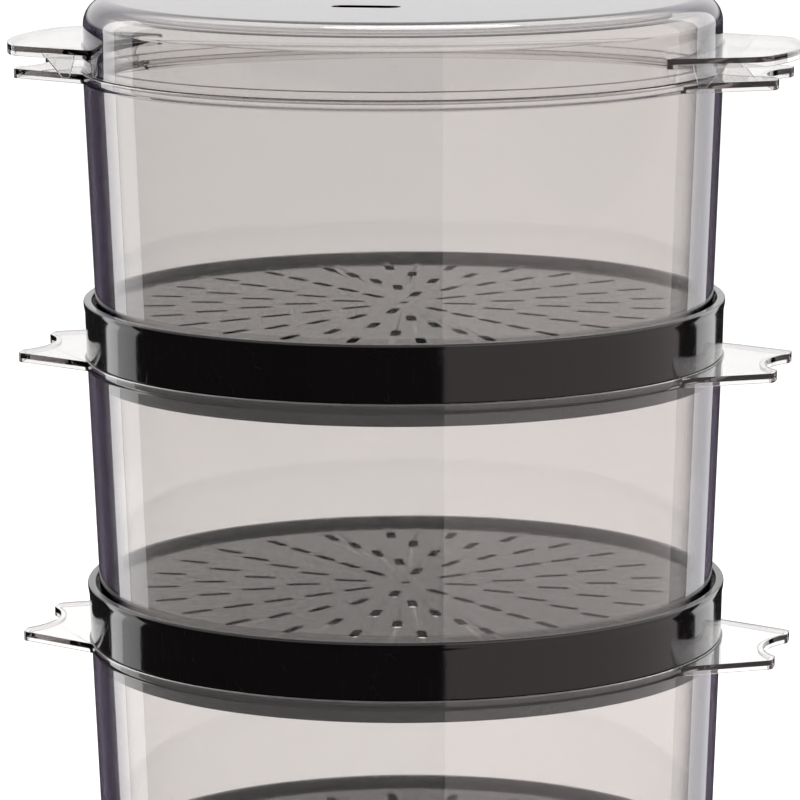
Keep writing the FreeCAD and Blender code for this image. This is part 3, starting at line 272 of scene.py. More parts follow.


# The smoky clear's dark edge colour is painted shade on walls seen edge-on
smoky = clearMaterial("smokyClear", (0.765, 0.745, 0.735), (0.50, 0.47, 0.46), 50.0, 0.012, 0.03, 0.10,
                      edge=(0.03, 0.022, 0.045))
plateClear = clearMaterial("plateClear", (0.85, 0.84, 0.835), (0.50, 0.47, 0.46), 50.0, 0.012, 0.03, 0.10)
gloss = solidMaterial("glossBlack", (0.0022, 0.0018, 0.0019), (0.0036, 0.0028, 0.0030),
                      0.045, 0.10, 700.0, 0.03, scratch=0.25)
satin = solidMaterial("satinBlack", (0.010, 0.0095, 0.010), (0.016, 0.015, 0.0155),
                      0.28, 0.36, 1500.0, 0.30, scratch=0.2)
panelBlack = solidMaterial("panelBlack", (0.008, 0.008, 0.008), (0.012, 0.012, 0.012),
                           0.35, 0.45, 2200.0, 0.40)
rubber = solidMaterial("rubber", (0.012, 0.012, 0.012), (0.022, 0.021, 0.020), 0.62, 0.8, 1300.0, 0.5)
silicone = solidMaterial("silicone", (0.42, 0.10, 0.06), (0.50, 0.13, 0.08), 0.45, 0.6, 900.0, 0.25)
cast = solidMaterial("castAluminium", (0.46, 0.46, 0.47), (0.60, 0.60, 0.60), 0.30, 0.46, 520.0, 0.55,
                     scratch=0.3, metal=1.0)
steel = solidMaterial("brushedSteel", (0.50, 0.50, 0.50), (0.66, 0.65, 0.63), 0.20, 0.34, 420.0, 0.25,
                      scratch=0.4, metal=1.0, stretch=(1.0, 1.0, 14.0))
brass = solidMaterial("brass", (0.62, 0.44, 0.19), (0.75, 0.56, 0.27), 0.22, 0.36, 600.0, 0.2,
                      scratch=0.4, metal=1.0)
nylon = solidMaterial("nylon", (0.60, 0.58, 0.52), (0.70, 0.68, 0.62), 0.4, 0.55, 1100.0, 0.3)
ceramic = solidMaterial("ceramic", (0.20, 0.14, 0.10), (0.27, 0.19, 0.14), 0.45, 0.6, 900.0, 0.35)
red = solidMaterial("redPlastic", (0.50, 0.02, 0.015), (0.62, 0.035, 0.02), 0.2, 0.3, 900.0, 0.15)
blueWire = solidMaterial("blueWire", (0.02, 0.09, 0.40), (0.03, 0.12, 0.48), 0.3, 0.42, 1200.0, 0.2)
brownWire = solidMaterial("brownWire", (0.12, 0.045, 0.015), (0.16, 0.06, 0.02), 0.3, 0.42, 1200.0, 0.2)
greenWire = solidMaterial("greenWire", (0.10, 0.32, 0.03), (0.62, 0.52, 0.03), 0.3, 0.42, 1200.0, 0.2)
windowClear = clearMaterial("windowClear", (0.97, 0.97, 0.97), (0.9, 0.9, 0.9), 30.0, 0.03, 0.08, 0.05)
lensRed = clearMaterial("lensRed", (0.9, 0.06, 0.04), (0.9, 0.05, 0.03), 500.0, 0.08, 0.16, 0.05)
housingBlack = solidMaterial("housingBlack", (0.0055, 0.0052, 0.0055), (0.009, 0.0085, 0.009),
                             0.14, 0.24, 1400.0, 0.12, scratch=0.25)
knobBlack = solidMaterial("knobBlack", (0.012, 0.0115, 0.012), (0.018, 0.017, 0.0175),
                          0.26, 0.36, 1600.0, 0.25, scratch=0.2)
bandSteel = solidMaterial("bandSteel", (0.52, 0.52, 0.53), (0.64, 0.64, 0.64), 0.14, 0.24, 300.0, 0.12,
                          scratch=0.3, metal=1.0, stretch=(1.0, 1.0, 20.0))
printWhite = solidMaterial("printWhite", (0.74, 0.74, 0.73), (0.82, 0.82, 0.80), 0.45, 0.6, 1600.0, 0.2)
print("materials made")

cadFinish = {
    "bottom_cover": satin, "cover_screws": steel, "heater_plate": cast, "heater_seal": silicone,
    "heating_element": steel, "heater_clamp": steel, "clamp_screws": steel, "thermostat": ceramic,
    "thermal_fuse": steel, "steam_ring": gloss, "timer_body": nylon, "timer_bracket": steel,
    "timer_screws": steel, "timer_bell": steel, "shaft_bush": brass, "timer_shaft": brass,
    "lamp_holder": nylon, "pilot_lamp": windowClear, "lamp_leads": blueWire,
    "gauge_chamber": windowClear, "gauge_float": red, "cord_gland": rubber, "terminal_block": nylon,
    "wire_neutral": blueWire, "wire_live": brownWire, "wire_earth": greenWire,
    "wire_switched": brownWire, "wire_heater": brownWire,
}
for node, material in cadFinish.items():
    mesh = bpy.data.objects[node].data
    mesh.materials.clear()
    mesh.materials.append(material)


# Mesh helpers, all sizes in millimetres

mm = 0.001


def softCorner(before, corner, after, reach, steps=5):
    # Points of a smooth turn at a corner
    start = Vector(corner) + (Vector(before) - Vector(corner)).normalized() * reach
    end = Vector(corner) + (Vector(after) - Vector(corner)).normalized() * reach
    points = []
    for i in range(steps + 1):
        t = i / steps
        points.append(tuple(start * (1 - t) ** 2 + Vector(corner) * 2 * t * (1 - t) + end * t ** 2))
    return points


def roundOutline(corners, steps=5):
    # Closed outline from (x, y, reach of the turn) corners
    points = []
    count = len(corners)
    for i, (x, y, reach) in enumerate(corners):
        if reach <= 0:
            points.append((x, y))
            continue
        points += softCorner(corners[i - 1][:2], (x, y), corners[(i + 1) % count][:2], reach, steps)
    return points


def arcBetween(centre, radius, startDeg, endDeg, steps):
    points = []
    for i in range(steps + 1):
        angle = math.radians(startDeg + (endDeg - startDeg) * i / steps)
        points.append((centre[0] + radius * math.cos(angle), centre[1] + radius * math.sin(angle)))
    return points


def newObject(name, bm):
    bmesh.ops.recalc_face_normals(bm, faces=bm.faces)
    mesh = bpy.data.meshes.new(name)
    bm.to_mesh(mesh)
    bm.free()
    piece = bpy.data.objects.new(name, mesh)
    scene.collection.objects.link(piece)
    return piece


def ringMesh(name, rings):
    # Closed skin over rings of vertices, where a ring of one vertex is a pole
    bm = bmesh.new()
    rows = [[bm.verts.new([c * mm for c in place]) for place in ring] for ring in rings]
    steps = max(len(row) for row in rows)
    for i, first in enumerate(rows):
        second = rows[(i + 1) % len(rows)]
        if len(first) == 1 and len(second) == 1:
            continue
        for j in range(steps):
            k = (j + 1) % steps
            corners = [first[j % len(first)], second[j % len(second)],
                       second[k % len(second)], first[k % len(first)]]
            bm.faces.new(list(dict.fromkeys(corners)))
    return newObject(name, bm)


def roundRing(radius, height, steps, wave=None):
    # Ring round the Z axis; a wave draws its radius in by an amount for each angle
    if radius < 1e-6:
        return [(0.0, 0.0, height)]
    ring = []
    for j in range(steps):
        angle = 2 * math.pi * j / steps
        r = radius - (wave(angle) if wave else 0.0)
        ring.append((r * math.cos(angle), r * math.sin(angle), height))
    return ring


def lathe(name, outline, steps=256):
    # Turn a closed outline of (radius, height) points round the Z axis
    return ringMesh(name, [roundRing(radius, height, steps) for radius, height in outline])


def addPrism(bm, first, second):
    # Closed prism between two rows of places
    rows = [[bm.verts.new([c * mm for c in place]) for place in row] for row in (first, second)]
    bm.faces.new(rows[0])
    bm.faces.new(rows[1])
    for i in range(len(first)):
        k = (i + 1) % len(first)
        bm.faces.new((rows[0][i], rows[0][k], rows[1][k], rows[1][i]))


def slab(name, outline, low, high, bevel=0.0, segments=3):
    # Plate from an outline of (x, y) points, with eased edges
    bm = bmesh.new()
    addPrism(bm, [(x, y, low) for x, y in outline], [(x, y, high) for x, y in outline])
    bmesh.ops.recalc_face_normals(bm, faces=bm.faces)
    easeEdges(bm, bevel, segments)
    return newObject(name, bm)


def easeEdges(bm, bevel, segments=3, test=None):
    # Bevel the edges that turn more than 50 degrees
    if bevel <= 0:
        return
    sharp = [e for e in bm.edges if len(e.link_faces) == 2
             and e.calc_face_angle(0.0) > math.radians(50) and (test is None or test(e))]
    bmesh.ops.bevel(bm, geom=sharp, offset=bevel * mm, offset_type="OFFSET", segments=segments,
                    profile=0.5, affect="EDGES", clamp_overlap=True)


def insetOutline(outline, distance):
    # The outline moved inwards; it runs anticlockwise
    points = []
    count = len(outline)
    for i in range(count):
        before, here, after = (Vector(outline[k % count]) for k in (i - 1, i, i + 1))
        first = (here - before).normalized()
        second = (after - here).normalized()
        sideOne = Vector((-first.y, first.x))
        sideTwo = Vector((-second.y, second.x))
        middle = (sideOne + sideTwo).normalized()
        points.append(tuple(here + middle * distance / max(0.5, middle.dot(sideOne))))
    return points


def lippedPlate(name, outline, top, plateT, lipH, lipT, bevel):
    # Plate with a lip turned down all round it
    inner = insetOutline(outline, lipT)
    bm = bmesh.new()
    rows = []
    for points, z in ((outline, top), (outline, top - lipH), (inner, top - lipH), (inner, top - plateT)):
        rows.append([bm.verts.new((x * mm, y * mm, z * mm)) for x, y in points])
    bm.faces.new(rows[0])
    bm.faces.new(rows[3])
    for a, b in zip(rows[:-1], rows[1:]):
        for i in range(len(outline)):
            k = (i + 1) % len(outline)
            bm.faces.new((a[i], a[k], b[k], b[i]))
    bmesh.ops.recalc_face_normals(bm, faces=bm.faces)
    easeEdges(bm, bevel)
    return newObject(name, bm)


def combine(target, others, operation):
    # Join the others to the target, or cut them from it, and drop them
    for other in others:
        modifier = target.modifiers.new("step", "BOOLEAN")
        modifier.object = other
        modifier.operation = operation
        modifier.solver = "MANIFOLD"
    evaluated = target.evaluated_get(bpy.context.evaluated_depsgraph_get())
    mesh = bpy.data.meshes.new_from_object(evaluated)
    target.modifiers.clear()
    target.data = mesh
    for other in others:
        bpy.data.objects.remove(other, do_unlink=True)
    return target


def slotOutline(length, width, steps=6):
    half = (length - width) / 2
    right = arcBetween((half, 0), width / 2, -90, 90, steps)
    left = arcBetween((-half, 0), width / 2, 90, 270, steps)
    return right + left


def turnedCopy(piece, degrees):
    other = piece.copy()
    other.data = piece.data.copy()
    other.data.transform(Matrix.Rotation(math.radians(degrees), 4, "Z"))
    scene.collection.objects.link(other)
    return other


def raisedCopy(piece, name, height):
    other = piece.copy()
    other.name = name
    other.data = piece.data.copy()
    other.data.transform(Matrix.Translation((0, 0, height * mm)))
    scene.collection.objects.link(other)
    return other


def dress(piece, materials, body, nodes=(), sharpDeg=35.0, choose=None):
    # Give a piece its finish, smooth shading and its body, and hide the nodes that it stands for
    mesh = piece.data
    mesh.materials.clear()
    for material in materials:
        mesh.materials.append(material)
    if choose:
        for face in mesh.polygons:
            face.material_index = choose(face.center)
    for face in mesh.polygons:
        face.use_smooth = True
    mesh.set_sharp_from_angle(angle=math.radians(sharpDeg))
    weigh = piece.modifiers.new("evenNormals", "WEIGHTED_NORMAL")
    weigh.mode = "FACE_AREA"
    weigh.weight = 80
    weigh.keep_sharp = True
    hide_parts(*nodes)
    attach(piece, body)
    return piece


# Heated base

cutReach = 150.0       # beyond the housing, for cutters
past = 1.0          # how far a cutter runs past a face

baseShape = {"bottomR": 119.0, "topR": 115.5, "low": 4.0, "top": 88.0, "wall": 2.6, "floorLow": 30.0,
             "floorTop": 32.6, "heaterR": 36.0, "frontY": -105.0, "frontLow": 12.0, "frontTop": 76.4,
             "rearY": 112.0, "rearLow": 8.0, "rearTop": 28.0, "boxX": 47.0, "boxBack": -78.0,
             "boxTop": 74.0, "boxWall": 2.4, "bandLow": 81.5, "bandTop": 86.5, "bandInset": 0.6,
             "bandT": 0.9, "bandGap": 0.15, "edge": 1.2, "footEdge": 0.6}
spoutShape = {"endX": 131.0, "halfW": 20.0, "low": 54.0, "top": 79.5, "wall": 2.4, "corner": 6.0,
              "bevel": 0.6}
panelShape = {"axisZ": 45.0, "bushR": 5.15, "lampX": 38.0, "lampZ": 62.0, "lampR": 4.65,
              "gaugeX": -38.0, "gaugeW": 7.3, "gaugeLow": 33.85, "gaugeTop": 68.15,
              "glandZ": 17.0, "glandR": 6.45}


def baseRadius(z):
    b = baseShape
    share = (z - b["low"]) / (b["top"] - b["low"])
    return b["bottomR"] + (b["topR"] - b["bottomR"]) * share


def boxMesh(name, x, y, z):
    # Box between two places along each axis
    return slab(name, [(x[0], y[0]), (x[1], y[0]), (x[1], y[1]), (x[0], y[1])], z[0], z[1])


def plugMesh(name, radius, x, z, y0, y1, steps=64):
    # Round cutter along the Y axis
    circle = arcBetween((x, z), radius, 0, 360 - 360 / steps, steps - 1)
    bm = bmesh.new()
    addPrism(bm, [(px, y0, pz) for px, pz in circle], [(px, y1, pz) for px, pz in circle])
    return newObject(name, bm)


def roomMesh(name, low, high):
    # Hollow of the housing between two heights, with the flat of the panel
    b = baseShape
    room = lathe(name, [(0.0, low), (baseRadius(low) - b["wall"], low),
                        (baseRadius(high) - b["wall"], high), (0.0, high)])
    flat = boxMesh("flat", (-cutReach, cutReach), (-cutReach, b["frontY"] + b["wall"]),
                   (b["frontLow"] - b["wall"], b["frontTop"] + b["wall"]))
    return combine(room, [flat], "DIFFERENCE")


def makeShell():
    # Outside of the housing, with the groove of the trim band and both flats
    b = baseShape
    low, high = b["bandLow"], b["bandTop"]
    inset = b["bandInset"]
    outline = [(0.0, b["low"])]
    outline += softCorner((0.0, b["low"]), (b["bottomR"], b["low"]), (baseRadius(low), low), b["footEdge"], 3)
    outline += [(baseRadius(low), low), (baseRadius(low) - inset, low),
                (baseRadius(high) - inset, high), (baseRadius(high), high)]
    outline += softCorner((baseRadius(high), high), (b["topR"], b["top"]), (0.0, b["top"]), b["edge"], 4)
    shell = lathe("housing", outline + [(0.0, b["top"])])
    front = boxMesh("front", (-cutReach, cutReach), (-cutReach, b["frontY"]), (b["frontLow"], b["frontTop"]))
    rear = boxMesh("rear", (-cutReach, cutReach), (b["rearY"], cutReach), (b["rearLow"], b["rearTop"]))
    return combine(shell, [front, rear], "DIFFERENCE")


def spoutEnd(startX, endX, halfW, corner, steps):
    return roundOutline([(startX, -halfW, 0), (endX, -halfW, corner), (endX, halfW, corner),
                         (startX, halfW, 0)], steps)


def halfTurn(piece, side):
    # The same piece on the other side of the base
    if side < 0:
        piece.data.transform(Matrix.Rotation(math.pi, 4, "Z"))
    return piece


def makeHousing():
    b = baseShape
    s = spoutShape
    housing = makeShell()
    near = baseRadius(s["top"])
    for side in (-1, 1):
        outline = spoutEnd(near - b["wall"], s["endX"], s["halfW"], s["corner"], 8)
        spout = halfTurn(slab("spout", outline, s["low"], s["top"], s["bevel"], 3), side)
        combine(housing, [spout], "UNION")
    # Room under the tank's floor, the tank and the dry box behind the panel
    lower = roomMesh("lower", b["low"] - past, b["floorLow"])
    upper = roomMesh("upper", b["floorTop"], b["top"] + past)
    walled = b["boxX"] + b["boxWall"]
    walls = boxMesh("walls", (-walled, walled), (-cutReach, b["boxBack"] + b["boxWall"]),
                    (b["floorLow"], b["boxTop"] + b["boxWall"]))
    combine(upper, [walls], "DIFFERENCE")
    dry = roomMesh("dry", b["low"] - past, b["top"])
    inside = boxMesh("inside", (-b["boxX"], b["boxX"]), (-cutReach, b["boxBack"]),
                     (b["low"] - 2 * past, b["boxTop"]))
    combine(dry, [inside], "INTERSECT")
    combine(housing, [lower, upper, dry], "DIFFERENCE")
    w = s["halfW"] - s["wall"]
    low = s["low"] + s["wall"]
    for side in (-1, 1):
        outline = spoutEnd(near, s["endX"] - s["wall"], w, s["corner"] - s["wall"], 6)
        mouth = halfTurn(slab("mouth", outline, low, s["top"] + past), side)
        passage = halfTurn(boxMesh("passage", (near - 2 * b["wall"], near + past), (-w, w),
                                   (low, s["top"] - s["wall"])), side)
        combine(housing, [mouth, passage], "DIFFERENCE")
    return combine(housing, panelHoles(), "DIFFERENCE")


def panelHoles():
    b = baseShape
    p = panelShape
    front = (b["frontY"] - past, b["frontY"] + b["wall"] + past)
    half = p["gaugeW"] / 2
    heater = [(0.0, b["floorLow"] - past), (b["heaterR"], b["floorLow"] - past),
              (b["heaterR"], b["floorTop"] + past), (0.0, b["floorTop"] + past)]
    return [
        lathe("heaterHole", heater, 96),
        plugMesh("bushHole", p["bushR"], 0.0, p["axisZ"], *front),
        plugMesh("lampHole", p["lampR"], p["lampX"], p["lampZ"], *front),
        boxMesh("gaugeHole", (p["gaugeX"] - half, p["gaugeX"] + half), front,
                (p["gaugeLow"], p["gaugeTop"])),
        plugMesh("glandHole", p["glandR"], 0.0, p["glandZ"],
                 b["rearY"] - b["wall"] - 4 * past, b["rearY"] + past),
    ]


def makeTrimBand():
    b = baseShape
    corners = []
    for end, lift, outward in (("Low", 1, 0), ("Low", 1, 1), ("Top", -1, 1), ("Top", -1, 0)):
        height = b["band" + end]
        radius = baseRadius(height) - b["bandInset"] + outward * b["bandT"]
        corners.append((radius, height + lift * b["bandGap"], 0.35 if outward else 0.1))
    return lathe("trimBand", roundOutline(corners, 4))


dress(makeHousing(), [housingBlack], "base", ["base_housing"])
dress(makeTrimBand(), [bandSteel], "base", ["trim_band"])

footShape = {"r": 9.0, "height": 4.0, "stemR": 3.0, "stemTop": 6.6, "circleR": 100.0, "dishR": 4.0,
             "dish": 0.8, "ring": 1.2, "taper": 0.2, "angles": (55.0, 125.0, 235.0, 305.0)}


def makeFoot(name, angle):
    f = footShape
    foot = lathe(name, roundOutline([
        (0.0, f["dish"], 0),
        (f["dishR"], f["dish"], 0.6),
        (f["dishR"] + f["ring"], 0.0, 0.5),
        (f["r"] - f["taper"], 0.0, 1.0),
        (f["r"], f["height"], 0.4),
        (f["stemR"], f["height"], 0),
        (f["stemR"], f["stemTop"], 0.4),
        (0.0, f["stemTop"], 0),
    ], 4), 64)
    turn = math.radians(angle)
    foot.data.transform(Matrix.Translation((f["circleR"] * mm * math.cos(turn),
                                            f["circleR"] * mm * math.sin(turn), 0)))
    return foot


for i, angle in enumerate(footShape["angles"], 1):
    dress(makeFoot("foot%d" % i, angle), [rubber], "base", ["foot_%d" % i])
print("housing, trim band and feet made")


# Control panel

dialShape = {"r": 27.5, "bore": 5.15, "back": -105.0, "face": -106.2, "edge": 0.4, "ticks": 12,
             "sweep": 300.0, "tickOut": 26.0, "tickIn": 22.0, "tickW": 0.8, "print": 0.05,
             "sunk": 0.2}
knobShape = {"skirtR": 20.5, "skirtT": 2.4, "gripR": 16.5, "back": -106.8, "depth": 11.8, "flutes": 16,
             "fluteDepth": 1.0, "edge": 1.6, "dish": 0.5, "hollowR": 13.5, "wall": 2.0, "hubR": 5.5,
             "boreR": 3.02, "pointerW": 2.2, "pointerH": 0.7, "pointerOut": 19.9, "pointerBevel": 0.3,
             "lineW": 1.2, "lineLow": 7.0, "lineHigh": 13.3, "print": 0.05, "sunk": 0.6}
lensShape = {"r": 4.5, "back": -101.4, "seat": -102.4, "face": -106.2, "flangeR": 6.0, "edge": 0.8}
windowShape = {"width": 7.0, "low": 34.0, "top": 68.0, "rim": 1.8, "rimT": 1.0, "bevel": 0.25,
               "corner": 0.8, "rimCorner": 1.2, "overlap": 0.2}


def facePanel(piece, x, z):
    # Turn a piece that was made along +Z so that it faces -Y, and put it on the panel
    turn = Matrix.Rotation(math.radians(90.0), 4, "X")
    piece.data.transform(Matrix.Translation((x * mm, 0, z * mm)) @ turn)
    return piece


def joinPieces(target, others):
    bm = bmesh.new()
    for source in [target] + others:
        bm.from_mesh(source.data)
    bm.to_mesh(target.data)
    bm.free()
    for other in others:
        bpy.data.objects.remove(other, do_unlink=True)
    return target


def makeDial():
    d = dialShape
    back, face = -d["back"], -d["face"]
    corners = [(d["bore"], back, 0), (d["r"], back, 0.1), (d["r"], face, d["edge"]), (d["bore"], face, 0)]
    dial = lathe("dial", roundOutline(corners, 4), 160)
    marks = []
    middle = (d["tickOut"] + d["tickIn"]) / 2
    for i in range(d["ticks"]):
        turn = math.radians(90.0 - d["sweep"] * i / (d["ticks"] - 1))
        width = d["tickW"] if i % 2 == 0 else d["tickW"] / 2    # every other tick is thinner
        points = [((middle + px) * math.cos(turn) - py * math.sin(turn),
                   (middle + px) * math.sin(turn) + py * math.cos(turn))
                  for px, py in slotOutline(d["tickOut"] - d["tickIn"], width)]
        marks.append(slab("mark", points, face - d["sunk"], face + d["print"]))
    return facePanel(joinPieces(dial, marks), 0.0, panelShape["axisZ"])


def dialFaces(centre):
    # Printed marks stand a hair's breadth above the dial
    d = dialShape
    return 1 if centre.y < (d["face"] - d["print"] / 5) * mm else 0


def knobRows():
    # Radius, height and whether the flutes reach there, from the shaft's bore round to the back
    k = knobShape
    back = -k["back"]
    top = back + k["depth"]
    skirt = back + k["skirtT"]
    corners = [
        ((k["hollowR"], back), (k["skirtR"], back), (k["skirtR"], skirt), 0.4, 3, False),
        ((k["skirtR"], back), (k["skirtR"], skirt), (k["gripR"], skirt), 0.9, 5, False),
        ((k["skirtR"], skirt), (k["gripR"], skirt), (k["gripR"], top), 0.5, 4, True),
        ((k["gripR"], skirt), (k["gripR"], (skirt + top) / 2), (k["gripR"], top), 0.0, 0, True),
        ((k["gripR"], skirt), (k["gripR"], top), (0, top), k["edge"], 7, True),
    ]
    rows = [(k["boreR"], back + 0.3, False), (k["hubR"], back + 0.3, False),
            (k["hubR"], top - k["wall"], False), (k["hollowR"], top - k["wall"], False),
            (k["hollowR"], back, False)]
    for before, corner, after, turn, steps, fluted in corners:
        points = softCorner(before, corner, after, turn, steps) if steps else [corner]
        rows += [(r, z, fluted) for r, z in points]
    rows += [(k["gripR"] - k["edge"] - 1.0, top, False), (9.0, top - k["dish"], False),
             (k["boreR"], top - k["dish"], False), (0.0, top - k["dish"], False),
             (0.0, top - k["wall"], False), (k["boreR"], top - k["wall"], False)]
    return rows


def makeKnob():
    k = knobShape
    top = k["depth"] - k["back"]
    skirt = k["skirtT"] - k["back"]

    def flute(angle):
        wave = math.cos(k["flutes"] * (angle - math.pi / 2) + math.pi)
        return k["fluteDepth"] * max(0.0, wave) ** 1.5

    rings = [roundRing(r, z, 320, flute if fluted else None) for r, z, fluted in knobRows()]
    knob = ringMesh("knob", rings)
    half = k["pointerW"] / 2
    low = k["gripR"] - 1.5
    pointer = slab("pointer", [(-half, low), (half, low), (half, k["pointerOut"]), (-half, k["pointerOut"])],
                   skirt - k["sunk"], skirt + k["pointerH"], k["pointerBevel"], 3)
    middle = (k["lineLow"] + k["lineHigh"]) / 2
    upright = [(-y, middle + x) for x, y in slotOutline(k["lineHigh"] - k["lineLow"], k["lineW"])]
    line = slab("line", upright, top - k["dish"] - k["sunk"], top + k["print"])
    return facePanel(joinPieces(knob, [pointer, line]), 0.0, panelShape["axisZ"])


def knobFaces(centre):
    # The pointer on the skirt and the line on the grip's face are white
    k = knobShape
    up = centre.z / mm - panelShape["axisZ"]
    across = abs(centre.x / mm)
    out = k["back"] - centre.y / mm
    onSkirt = up > k["gripR"] + 0.1 and across <= k["pointerW"] / 2 + 0.01 and out > k["skirtT"] + 0.02
    onFace = (k["lineLow"] - 0.1 < up < k["lineHigh"] + 0.1 and across < k["lineW"] / 2 + 0.01
              and out > k["depth"] + 0.02)
    return 1 if onSkirt or onFace else 0


def makeLens():
    n = lensShape
    back, seat, face = -n["back"], -n["seat"], -n["face"]
    dome = [(n["r"] * math.cos(math.radians(a)), face - n["edge"] + n["edge"] * math.sin(math.radians(a)))
            for a in range(0, 91, 10)]
    lens = lathe("lens", [(0.0, back), (n["flangeR"], back), (n["flangeR"], seat), (n["r"], seat)]
                 + dome[:-1] + [(0.0, face)], 72)
    return facePanel(lens, panelShape["lampX"], panelShape["lampZ"])


def roundedRect(half, tall, corner):
    return roundOutline([(-half, -tall, corner), (half, -tall, corner), (half, tall, corner),
                         (-half, tall, corner)], 4)


def makeWindow():
    w = windowShape
    half, tall = w["width"] / 2, (w["top"] - w["low"]) / 2
    front = -baseShape["frontY"]
    back = front - baseShape["wall"]
    pane = slab("window", roundedRect(half, tall, w["corner"]), back - w["overlap"], front, w["bevel"], 2)
    rim = slab("rim", roundedRect(half + w["rim"], tall + w["rim"], w["rimCorner"]), back - w["rimT"], back,
               w["bevel"], 2)
    combine(pane, [rim], "UNION")
    return facePanel(pane, panelShape["gaugeX"], (w["low"] + w["top"]) / 2)


dress(makeDial(), [panelBlack, printWhite], "base", ["dial_plate"], choose=dialFaces)
dress(makeKnob(), [knobBlack, printWhite], "knob", ["timer_knob"], choose=knobFaces)
dress(makeLens(), [lensRed], "base", ["lamp_lens"])
dress(makeWindow(), [windowClear], "base", ["gauge_window"])
print("control panel made")


# Drip tray

dripShape = {"panLow": 80.0, "panT": 2.2, "wallIn": 109.3, "wallOut": 111.5, "flangeR": 115.0,
             "flangeLow": 88.0, "flangeT": 2.2, "rim": 97.0, "chimneyR": 30.0, "flare": 2.0, "wall": 2.0,
             "edgeTop": 101.0, "edge": 2.0, "roof": 2.0, "slots": 12, "slotW": 3.6, "slotH": 9.0,
             "slotTop": 97.0}


def makeDripTray():
    d = dripShape
    panTop = d["panLow"] + d["panT"]
    flangeTop = d["flangeLow"] + d["flangeT"]
    edgeZ = d["edgeTop"] - d["edge"]
    innerR = d["chimneyR"] - d["wall"]
    tray = lathe("dripTray", roundOutline([
        (innerR, d["panLow"], 0.4),
        (d["wallOut"], d["panLow"], 1.6),
        (d["wallOut"], d["flangeLow"], 0.0),
        (d["flangeR"], d["flangeLow"], 0.5),
        (d["flangeR"], flangeTop, 0.7),
        (d["wallOut"], flangeTop, 0.5),
        (d["wallOut"], d["rim"], 0.6),
        (d["wallIn"], d["rim"], 0.6),
        (d["wallIn"], panTop, 1.4),
        (d["chimneyR"] + d["flare"], panTop, 0.8),
        (d["chimneyR"], edgeZ, 0.6),
        (d["chimneyR"] - d["edge"], d["edgeTop"], 0.8),
        (0.0, d["edgeTop"] + d["roof"], 0.0),
        (0.0, d["edgeTop"] + d["roof"] - d["wall"], 0.0),
        (innerR - d["edge"], d["edgeTop"] - d["wall"], 0.4),
        (innerR, edgeZ - d["wall"] / 2, 0.4)], 4), 240)
    cutters = []
    half = d["slotW"] / 2
    for i in range(d["slots"]):
        cutter = boxMesh("slot", (innerR - d["wall"], d["chimneyR"] + 2 * d["flare"]), (-half, half),
                         (d["slotTop"] - d["slotH"], d["slotTop"]))
        cutter.data.transform(Matrix.Rotation(2 * math.pi * i / d["slots"], 4, "Z"))
        cutters.append(cutter)
    return combine(tray, cutters, "DIFFERENCE")


dress(makeDripTray(), [gloss], "drip_body", ["drip_tray"])
print("drip tray made")


# Clear bowls

def plateFaces(centre):
    # Handles and grips outside the wall look paler than the wall itself
    return 1 if math.hypot(centre.x, centre.y) > bowlShape["outside"] * mm else 0


rimHeights = (97.0, 197.4, 297.8, 398.2)
bowlShape = {"rimR": 111.5, "footR": 108.0, "length": 88.5, "wall": 2.2, "beadOut": 0.6, "beadH": 2.4,
             "outside": 112.8}
handleShape = {"rootR": 110.3, "rootX": 100.0, "rootW": 43.1, "tipX": 134.0, "tipW": 25.0,
               "notchW": 17.5, "notchDepth": 6.3, "drop": 0.3, "plate": 2.0, "lipH": 3.3, "lipT": 1.8,
               "bevel": 0.35, "notchSpan": 0.93, "tipTurn": 2.2, "notchTurn": 1.1}


def sideStart(rootX, rootW, tipX, tipW, radius):
    # Where the slanting side of a handle leaves the wall
    low, high = 0.0, 1.0
    for i in range(40):
        t = (low + high) / 2
        x = rootX + (tipX - rootX) * t
        y = rootW + (tipW - rootW) * t
        if math.hypot(x, y) < radius:
            low = t
        else:
            high = t
    return x, y


def handleOutline(h):
    x, y = sideStart(h["rootX"], h["rootW"], h["tipX"], h["tipW"], h["rootR"])
    notchR = (h["notchW"] ** 2 + h["notchDepth"] ** 2) / (2 * h["notchDepth"])
    notchX = h["tipX"] - h["notchDepth"] + notchR
    spread = math.degrees(math.asin(h["notchW"] / notchR)) * h["notchSpan"]
    notch = arcBetween((notchX, 0), notchR, 180 + spread, 180 - spread, 18)
    points = [(x, -y)]
    tipX, tipW, notchW = h["tipX"], h["tipW"], h["notchW"]
    points += softCorner((x, -y), (tipX, -tipW), (tipX, 0), h["tipTurn"])
    points += softCorner((tipX, -tipW), (tipX, -notchW), notch[0], h["notchTurn"], 4)
    points += notch[1:-1]
    points += softCorner(notch[-1], (tipX, notchW), (tipX, tipW), h["notchTurn"], 4)
    points += softCorner((tipX, 0), (tipX, tipW), (x, y), h["tipTurn"])
    points.append((x, y))
    rootDeg = math.degrees(math.atan2(y, x))
    points += arcBetween((0, 0), h["rootR"], rootDeg, -rootDeg, 24)[1:-1]
    return points


def makeBowl():
    b = bowlShape
    bead = b["rimR"] + b["beadOut"]
    slope = (b["rimR"] - b["footR"]) / b["length"]
    wall = lathe("bowl", roundOutline([
        (b["footR"] - b["wall"], -b["length"], 0.7),
        (b["footR"], -b["length"], 0.7),
        (b["rimR"] - slope * 3.4, -b["beadH"] - 1.0, 0.5),
        (bead, -b["beadH"], 0.45),
        (bead, 0.0, 0.6),
        (b["rimR"] - b["wall"], 0.0, 0.6),
    ], 4), 240)
    h = handleShape
    handle = lippedPlate("handle", handleOutline(h), -h["drop"], h["plate"], h["lipH"], h["lipT"],
                         h["bevel"])
    return combine(wall, [handle, turnedCopy(handle, 180)], "UNION")


